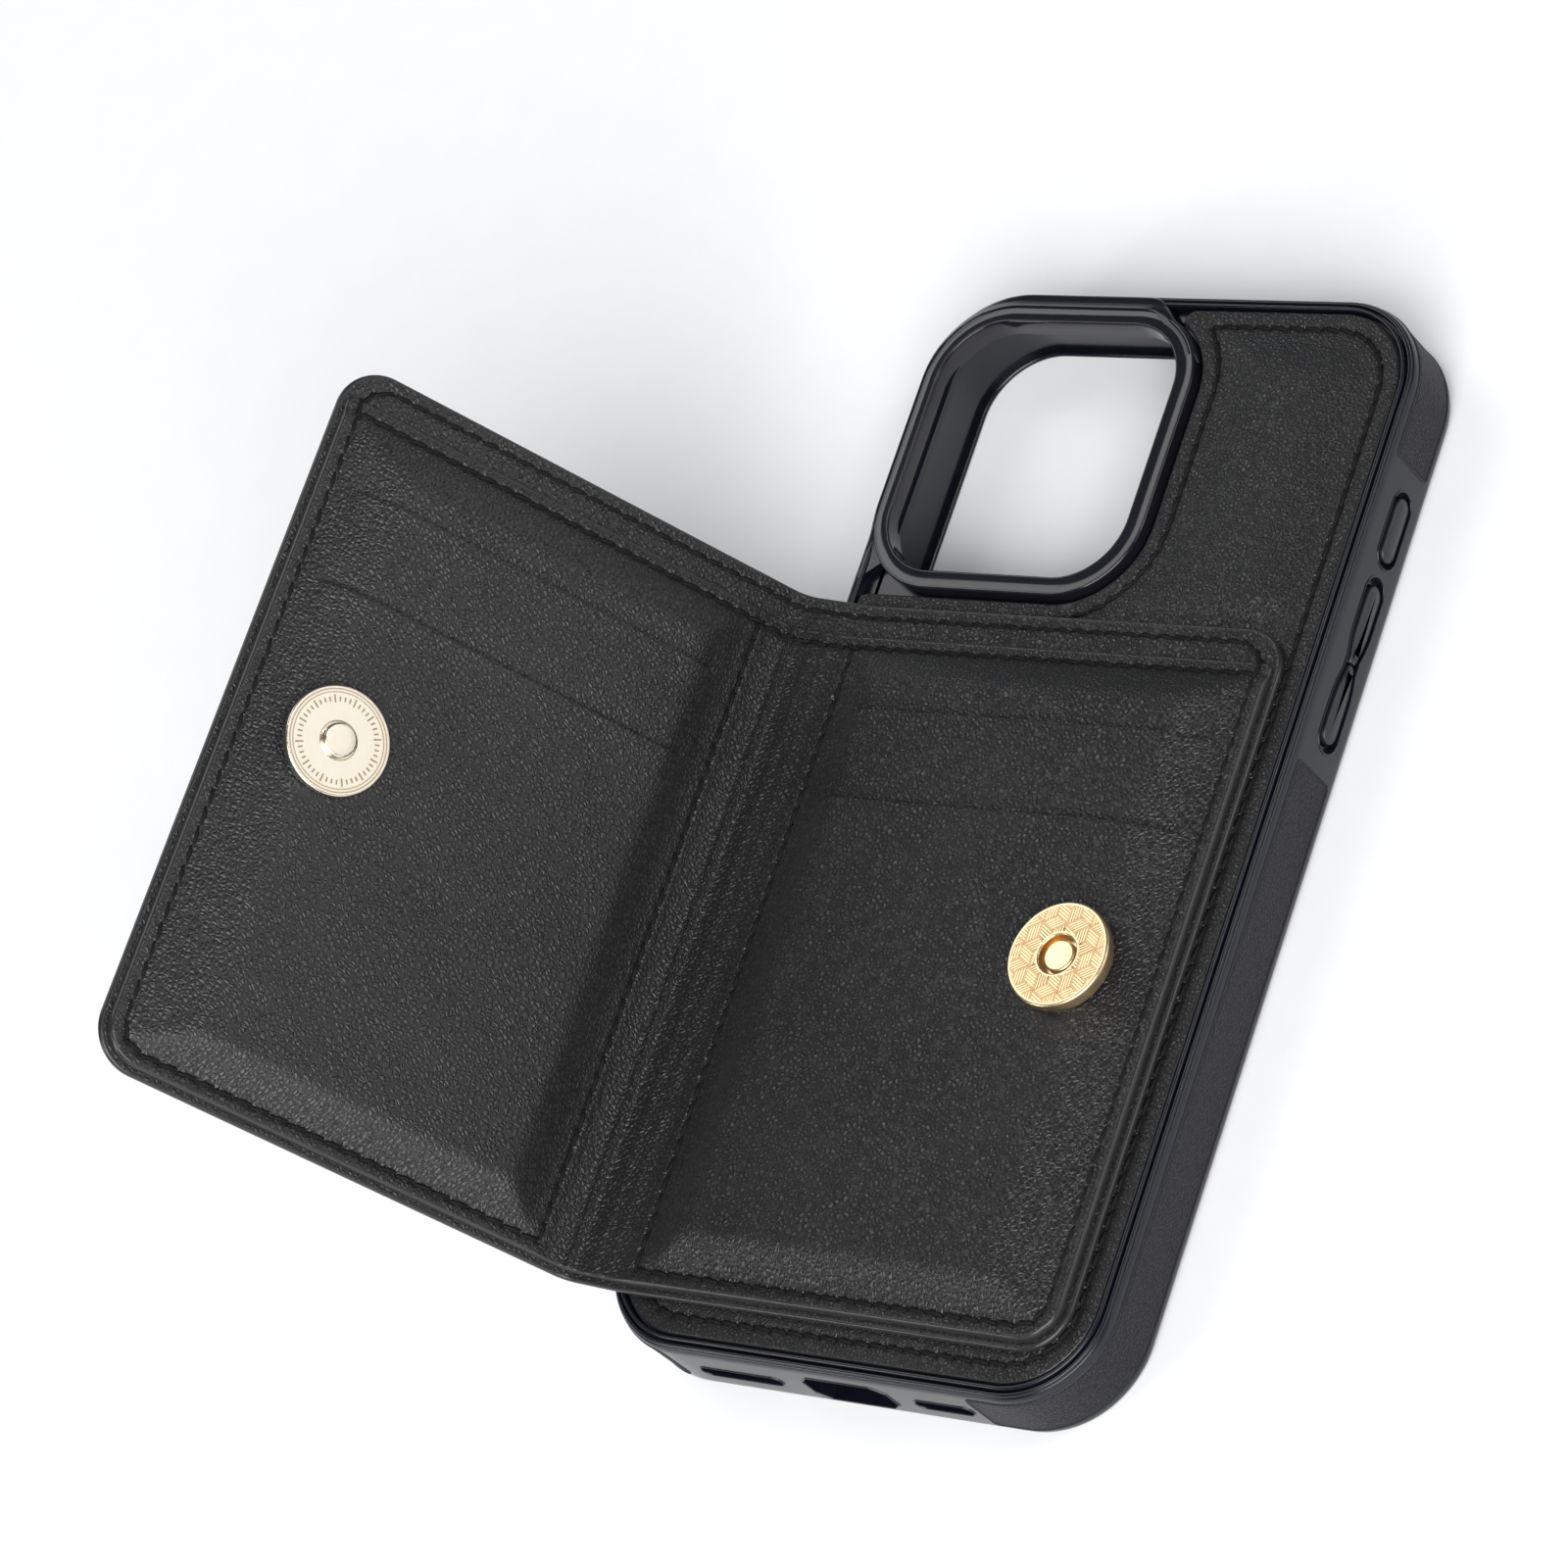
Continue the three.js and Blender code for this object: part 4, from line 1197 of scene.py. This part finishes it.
# Openings of the walls: place, outline and how deep each is cut.
PORTS = [
    (LOWER, chamfered(0, 12.8, 6.6, 1.5), THROUGH),
    (LOWER, pill(-17.2, 12.8, 2.4), THROUGH),
    (LOWER, pill(14.6, 8.7, 2.4), THROUGH),
]
WELLS = []
SLOTS = []
for side, middle, cover_length, well_length, neck in BUTTONS:
    WELLS.append((side, pill(middle, well_length, WELL_HEIGHT, neck), -WELL_DEPTH))
    SLOTS.append((side, pill(middle, cover_length + 0.5, SLOT_HEIGHT, neck), THROUGH))

# Button covers: body, place and outline.
COVERS = [
    ("action_button", RIGHT, pill(*ACTION, COVER_HEIGHT)),
    ("volume_up_button", RIGHT, lobe(*VOLUME, COVER_HEIGHT, 0.85, 0.3, True)),
    ("volume_down_button", RIGHT, lobe(*VOLUME, COVER_HEIGHT, 0.85, 0.3, False)),
    ("power_button", LEFT, pill(*POWER, COVER_HEIGHT)),
]
COVER_DOME = [
    (0.0, -2.1), (0.0, 0.02), (0.06, 0.14), (0.2, 0.25), (0.34, 0.2), (0.5, 0.22), (0.8, 0.33), (1.15, 0.37),
]
LIGHT_RIM = [(-0.16 + 0.13 * math.cos(a), 0.13 * math.sin(a)) for a in np.linspace(0, 2 * math.pi, 9)[:-1]]


def back_plate():
    """The flat of the bumper behind the leather, with the camera window, as one solid."""
    outer = case_outline(RIM_INSET, 16, 3.0)
    slab = swept("plate", lambda inset: outer, [(0, 0.0), (0, PLATE_HIGH)], solid=True)
    window = swept("window", lambda inset: ring_outline(-2.0), [(0, -2.0), (0, 3.0)], solid=True)
    cut(slab, window)
    return slab


def bumper_shell():
    """The bumper as one object: its cut wall, the back plate and a fine bead round each opening."""
    wall = swept("bumper_wall", lambda inset: case_outline(inset, 20, 1.2), bumper_profile())
    for place, outline, depth in PORTS + WELLS + SLOTS:
        cut(wall, swept("cutter", outline, [(0, depth), (0, 1.0)], place, solid=True))
    beads = [swept("bead", outline, LIGHT_RIM, place) for place, outline, _ in PORTS + WELLS]
    shell = join("bumper_shell", [wall, back_plate(), *beads])
    shell.data.set_sharp_from_angle(angle=math.radians(35))
    return shell


def bumper_pieces():
    shell = finish_piece(bumper_shell(), BUMPER)
    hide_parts("bumper_frame")
    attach(shell, "case")
    for name, place, outline in COVERS:
        cover = swept(f"{name}_cover", outline, COVER_DOME, place, solid=True)
        finish_piece(cover, BUTTON)
        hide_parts(name)
        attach(cover, name)


# ---------------- camera ring


def ring_piece():
    """Glossy ring round the camera opening: a broad sloping face with a fine raised line at each side."""
    profile = [
        (0.0, 0.6),
        (0.0, 3.3),
        *arc_points((0.28, 3.34), 0.28, 180, 70, 5),
        (0.55, 3.56),
        (1.2, 3.66),
        (1.9, 3.8),
        *arc_points((2.3, RING_TOP - 0.22), 0.22, 130, 10, 7),
        (2.58, 3.3),
        (2.6, 2.4),
        (2.45, 2.2),
        (2.45, 0.5),
        (2.2, 0.3),
    ]
    ring = swept("camera_ring", lambda inset: ring_outline(-inset, 24, 1.5), profile)
    finish_piece(ring, GLOSS_RING)
    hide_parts("camera_bezel")
    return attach(ring, "case")


SURROUND_END = 67.3  # the satin surround stops here on the ring's right side
SURROUND_TOP, SURROUND_RISE = 2.9, 0.75  # its height, and how much higher it is at the ring
SURROUND_START, SURROUND_LOW = 2.4, 1.4  # its height where it begins, and its underside
SURROUND_SHARE = np.array([0, 0.02, 0.05, 0.1, 0.16, 0.24, 0.34, 0.46, 0.58, 0.7, 0.82, 0.91, 0.97, 1.0])


def surround_line():
    """The ring's outline where the surround meets it, clockwise from its lower left, and its normals."""
    outline = ring_outline(0, 20, 1.0)
    from_centre = outline - np.array(RING_CENTRE)
    shown = (from_centre[:, 0] < 3 - RING_HALF) | (outline[:, 1] > SURROUND_END)
    clockwise = np.argsort(-np.degrees(np.arctan2(from_centre[:, 1], from_centre[:, 0])) % 360)
    order = clockwise[shown[clockwise]]
    return outline[order], outward_normals(outline)[order]


def reach_to_edge(line, outward):
    """How far the case's edge is from each point in its outward direction."""
    edge = case_outline(0.3, 24, 0.4)
    reach = []
    for point, away in zip(line, outward):
        offsets = edge - point
        ahead = offsets @ away
        aside = np.abs(offsets @ np.array([-away[1], away[0]]))
        reach.append(np.min(np.where((ahead > -0.5) & (aside < 0.6), ahead, 9)))
    return np.array(reach)


def surround_piece():
    """Satin bumper material that rises round the ring on its left and top sides, out to the case's edge."""
    line, outward = surround_line()
    meets_leather = smooth((line[:, 0] + 5.5) / 5.5)
    reach = reach_to_edge(line, outward) * (1 - meets_leather) + 0.35 * meets_leather
    overlap = 0.35 + 1.25 * smooth((line[:, 0] + 4) / 4)
    from_inner = (reach + overlap)[:, None] * SURROUND_SHARE
    outwards = from_inner - overlap[:, None]
    height = SURROUND_TOP + SURROUND_RISE * (1 - smooth(outwards / 1.8))
    height -= 1.1 * (1 - round_edge(reach[:, None] - outwards, 1.0))
    height += 0.12 * hill(outwards - 0.15, 0.16) * (1 - meets_leather[:, None])
    height -= 0.9 * (1 - round_edge(from_inner, 0.22))
    places = path_lengths(line)
    ends = np.minimum(places, places[-1] - places)[:, None]
    height -= 0.9 * (1 - round_edge(ends, 0.3))
    height = SURROUND_START + (height - SURROUND_START) * smooth(places / 9)[:, None]
    xy = line[:, None] + outward[:, None] * outwards[..., None]
    top = np.concatenate([xy, height[..., None]], axis=-1)
    bottom = top.copy()
    bottom[1:-1, 1:-1, 2] = SURROUND_LOW
    obj = closed_sheet("camera_surround", top, bottom, as_drawn, np.zeros(height.shape))
    finish_piece(obj, BUMPER)
    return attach(obj, "case")


# ---------------- padded back

LEATHER_INSET = box_mm("back_leather")[0].x + HALF_WIDTH
BACK_STITCH_INSET = 2.7
BACK_PITCH = 2.6  # from one stitch hole to the next
BACK_BORDER, BACK_PLATEAU, BACK_PRESSED = 2.5, 3.9, 2.7  # heights of the border, the pad and under the base
BACK_RINGS = [0.05, 0.14, 0.28, 0.45, 0.65, 1.1, 1.6, 2.05, 2.4, 2.7, 3.0, 3.35, 3.8, 4.4, 5.1, 5.9]


def leather_outline(inset, spacing):
    """The back leather's edge, anticlockwise: round the case, along the ring's arc and its lower side."""
    half = (HALF_WIDTH - LEATHER_INSET - inset, HALF_LENGTH - LEATHER_INSET - inset)
    radius = CORNER - LEATHER_INSET - inset
    gap = 0.45 + inset
    ring_x, ring_y = RING_CENTRE
    arc_centre = (ring_x + RING_HALF - RING_CORNER, ring_y + RING_HALF - RING_CORNER)
    low_centre = (arc_centre[0], ring_y - RING_HALF + RING_CORNER)
    reach = RING_CORNER + gap
    meeting = 58 - 5.8 * inset  # where the top corner runs into the ring's arc, in degrees
    corner = max(0.3, 1.9 - inset)
    corner_x = arc_centre[0] + reach * math.cos(math.radians(meeting)) + 0.85 * corner
    corner_centre = (corner_x, half[1] - corner)
    points = [
        *arc_points((-half[0] + radius, -half[1] + radius), radius, 180, 270, 16),
        *arc_points((half[0] - radius, -half[1] + radius), radius, 270, 360, 16),
        *arc_points((half[0] - radius, half[1] - radius), radius, 0, 90, 16),
        *arc_points(corner_centre, corner, 90, 195, 8),
        *arc_points(arc_centre, reach, meeting, 0, 14),
        *arc_points(low_centre, reach, 0, -90, 16),
        *arc_points((-half[0] + 1.5, ring_y - RING_HALF - gap - 1.5), 1.5, 90, 180, 8),
    ]
    return fill_in(np.array(points), spacing)


def back_height(x, y, edge):
    """The back leather's surface: padded in the middle, and pressed down under the wallet's base."""
    rise = smooth((edge - BACK_STITCH_INSET - 0.6) / 8.5)
    pressed = smooth((TOP + 5 - y) / 4.5) * smooth((x + HALF_WIDTH - 3) / 2)
    pressed *= smooth((BASE_RIGHT - x) / 2) * smooth((y - BOTTOM) / 2)
    plateau = BACK_PLATEAU * (1 - pressed) + BACK_PRESSED * pressed
    surface = BACK_BORDER + (plateau - BACK_BORDER) * rise
    surface += 0.05 * rise * uneven(x, y, 18) * (1 - pressed)
    surface -= 0.18 * hill(edge - BACK_STITCH_INSET, 0.5)
    return 1.2 + (surface - 1.2) * round_edge(edge, 0.6)


def back_leather_piece():
    outline = leather_outline(0, 0.35)
    seam = evenly_along(leather_outline(BACK_STITCH_INSET, 0.5), BACK_PITCH, closed=True)
    holes = point_tree(seam)

    def height_at(x, y, edge):
        dimples = hill(nearest(holes, np.column_stack([x, y])), DIMPLE_RADIUS)
        return back_height(x, y, edge) - 0.34 * dimples

    obj = filled("padded_back", outline, BACK_RINGS, 0.9, height_at, 1.15)
    finish_piece(obj, BACK_LEATHER)
    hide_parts("back_leather", "back_pad")
    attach(obj, "case")
    thread = stitches("back_stitches", [(seam, level(BACK_BORDER - 0.12))], as_drawn)
    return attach(thread, "case")


# ---------------- grained inlays in the walls

INLAY_LOW, INLAY_HIGH, INLAY_CORNER = -7.7, 1.0, 1.0


def wall_length(x, y):
    """How far along the case's outline the point nearest to (x, y) is."""
    return float(WALL_LENGTHS[np.argmin(np.hypot(*(WALL_LINE - (x, y)).T))])


def on_wall(flat):
    """Puts (along the outline, z, outwards) on the case's wall."""
    loop = np.vstack([WALL_LINE, WALL_LINE[:1]])
    normal = outward_normals(WALL_LINE)
    normal = np.vstack([normal, normal[:1]])
    s = flat[..., 0] % WALL_LENGTHS[-1]
    x, y = (np.interp(s, WALL_LENGTHS, loop[:, axis]) for axis in (0, 1))
    nx, ny = (np.interp(s, WALL_LENGTHS, normal[:, axis]) for axis in (0, 1))
    return np.stack([x + nx * flat[..., 2], y + ny * flat[..., 2], flat[..., 1]], axis=-1)


def inlay_piece(name, start, end):
    """Grained leather set into the wall from one outline point to the next, with a fine bead round it."""
    low, high = wall_length(*start), wall_length(*end)
    if high < low:
        high += WALL_LENGTHS[-1]
    s = graded((low, FINE), (low + 0.7, 0.25), (low + 2, 0.8), (high - 2, 0.25), (high - 0.7, FINE),
               (high, 0))
    z = graded((INLAY_LOW, FINE), (INLAY_LOW + 0.7, 0.3), (INLAY_HIGH - 0.7, FINE), (INLAY_HIGH, 0))
    along_wall, height = np.meshgrid(s, z, indexing="ij")
    side = np.minimum(along_wall - low, high - along_wall)
    rise = np.minimum(height - INLAY_LOW, INLAY_HIGH - height)
    to_corner = np.hypot(np.clip(INLAY_CORNER - side, 0, None), np.clip(INLAY_CORNER - rise, 0, None))
    in_corner = (side < INLAY_CORNER) & (rise < INLAY_CORNER)
    edge = np.where(in_corner, INLAY_CORNER - to_corner, np.minimum(side, rise))
    bead = 0.09 * hill(edge - 0.22, 0.12) - 0.06 * hill(edge - 0.5, 0.14)
    outer = np.stack([along_wall, height, 0.36 * round_edge(edge, 0.22) - 0.3 + bead], axis=-1)
    inner = outer.copy()
    inner[1:-1, 1:-1, 2] = -0.5
    obj = closed_sheet(name, outer, inner, on_wall, smooth(1.6 - edge / 0.3))
    finish_piece(obj, SIDE_GRAIN)
    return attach(obj, "case")


def inlay_pieces():
    """The four inlays; each runs anticlockwise round the case from its first seam to its second."""
    seam_upper, seam_lower, seam_top = 56.0, 12.5, 20.0
    seam_bottom_right, seam_bottom_left = 20.2, -27.5
    right, top, bottom = HALF_WIDTH, HALF_LENGTH, -HALF_LENGTH
    inlays = {
        "upper_right": ((right, seam_upper), (seam_top, top)),
        "lower_right": ((seam_bottom_right, bottom), (right, seam_lower)),
        "upper_left": ((-seam_top, top), (-right, seam_upper)),
        "lower_left": ((-right, seam_lower), (seam_bottom_left, bottom)),
    }
    for corner, (start, end) in inlays.items():
        piece = inlay_piece(f"inlay_{corner}", start, end)
        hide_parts(f"side_leather_{corner}")


# ---------------- build

FRONT_PARTS = ("inner_panel", "pocket_upper", "pocket_lower", "edge_welt")
base_panel, flap_panel = PANELS
for panel in PANELS:
    cover = cover_piece(panel)
    front = front_piece(panel)
    panel_stitches(panel)
    board_piece(panel)
    cover_layers = [f"{panel.name}_cover"]
    front_layers = [f"{panel.name}_{part}" for part in FRONT_PARTS]
    if panel is base_panel:
        cover_layers.append("spine_cover")
        front_layers.append("spine_lining")
    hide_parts(*cover_layers)
    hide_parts(*front_layers)
outer_stitches(flap_panel)
snap_pieces()
bumper_pieces()
ring_piece()
surround_piece()
back_leather_piece()
inlay_pieces()

magnet = frame["nodes"]["snap_socket_magnet"]
magnet.data.materials.clear()
magnet.data.materials.append(MAGNET)

# ---------------- camera, floor and light


def add_camera(aim, azimuth, elevation, roll, distance, lens):
    """A camera that looks at the aim point from a distance in millimetres. Azimuth 0 looks along +y."""
    azimuth, elevation, roll = (math.radians(angle) for angle in (azimuth, elevation, roll))
    back = Vector((math.sin(azimuth) * math.cos(elevation), -math.cos(azimuth) * math.cos(elevation),
                   math.sin(elevation)))
    level = Vector((math.cos(azimuth), math.sin(azimuth), 0))
    right = level * math.cos(roll) + back.cross(level) * math.sin(roll)
    up = back.cross(right)
    data = bpy.data.cameras.new("camera")
    data.lens = lens
    data.clip_start, data.clip_end = 0.05, 20
    camera = bpy.data.objects.new("camera", data)
    bpy.context.scene.collection.objects.link(camera)
    turn = Matrix((right, up, back)).transposed().to_4x4()
    camera.matrix_world = Matrix.Translation((Vector(aim) + back * distance) * MM) @ turn
    bpy.context.scene.camera = camera


def add_light(name, position, size, power):
    """A soft panel that faces the case. Places and sizes are in metres, and power is in watts."""
    data = bpy.data.lights.new(name, "AREA")
    data.shape = "RECTANGLE"
    data.size, data.size_y = size
    data.energy = power
    light = bpy.data.objects.new(name, data)
    bpy.context.scene.collection.objects.link(light)
    light.location = position
    light.rotation_euler = (-Vector(position)).to_track_quat("-Z", "Y").to_euler()


def add_floor():
    size, height = 6000.0, FLOOR - 0.02
    corners = [(-size, -size, height), (size, -size, height), (size, size, height), (-size, size, height)]
    floor = add_object("studio_floor", corners, [[0, 1, 2, 3]])
    floor.data.materials.append(FLOOR_WHITE)


add_camera(aim=(-39.84, 3.08, 0.0), azimuth=61.86, elevation=47.28, roll=-49.155, distance=822.6, lens=141.03)
add_floor()
world = bpy.data.worlds.new("studio")
world.use_nodes = True
background = world.node_tree.nodes["Background"]
background.inputs["Color"].default_value = (0.86, 0.93, 1.0, 1)
background.inputs["Strength"].default_value = 0.16
bpy.context.scene.world = world
bpy.context.scene.view_settings.view_transform = "Standard"
add_light("left_panel", (-1.02, 0.54, 1.25), (0.9, 0.9), 6.6)
add_light("left_spot", (-1.03, -1.2, 0.62), (0.4, 0.4), 6.0)
add_light("ridge_light", (1.32, 0.58, 1.08), (0.25, 0.25), 2.6)
add_light("right_panel", (1.6, 0.54, 0.55), (1.2, 0.9), 4.6)
add_light("fill", (0.9, -1.2, 1.2), (1.8, 1.8), 64.0)
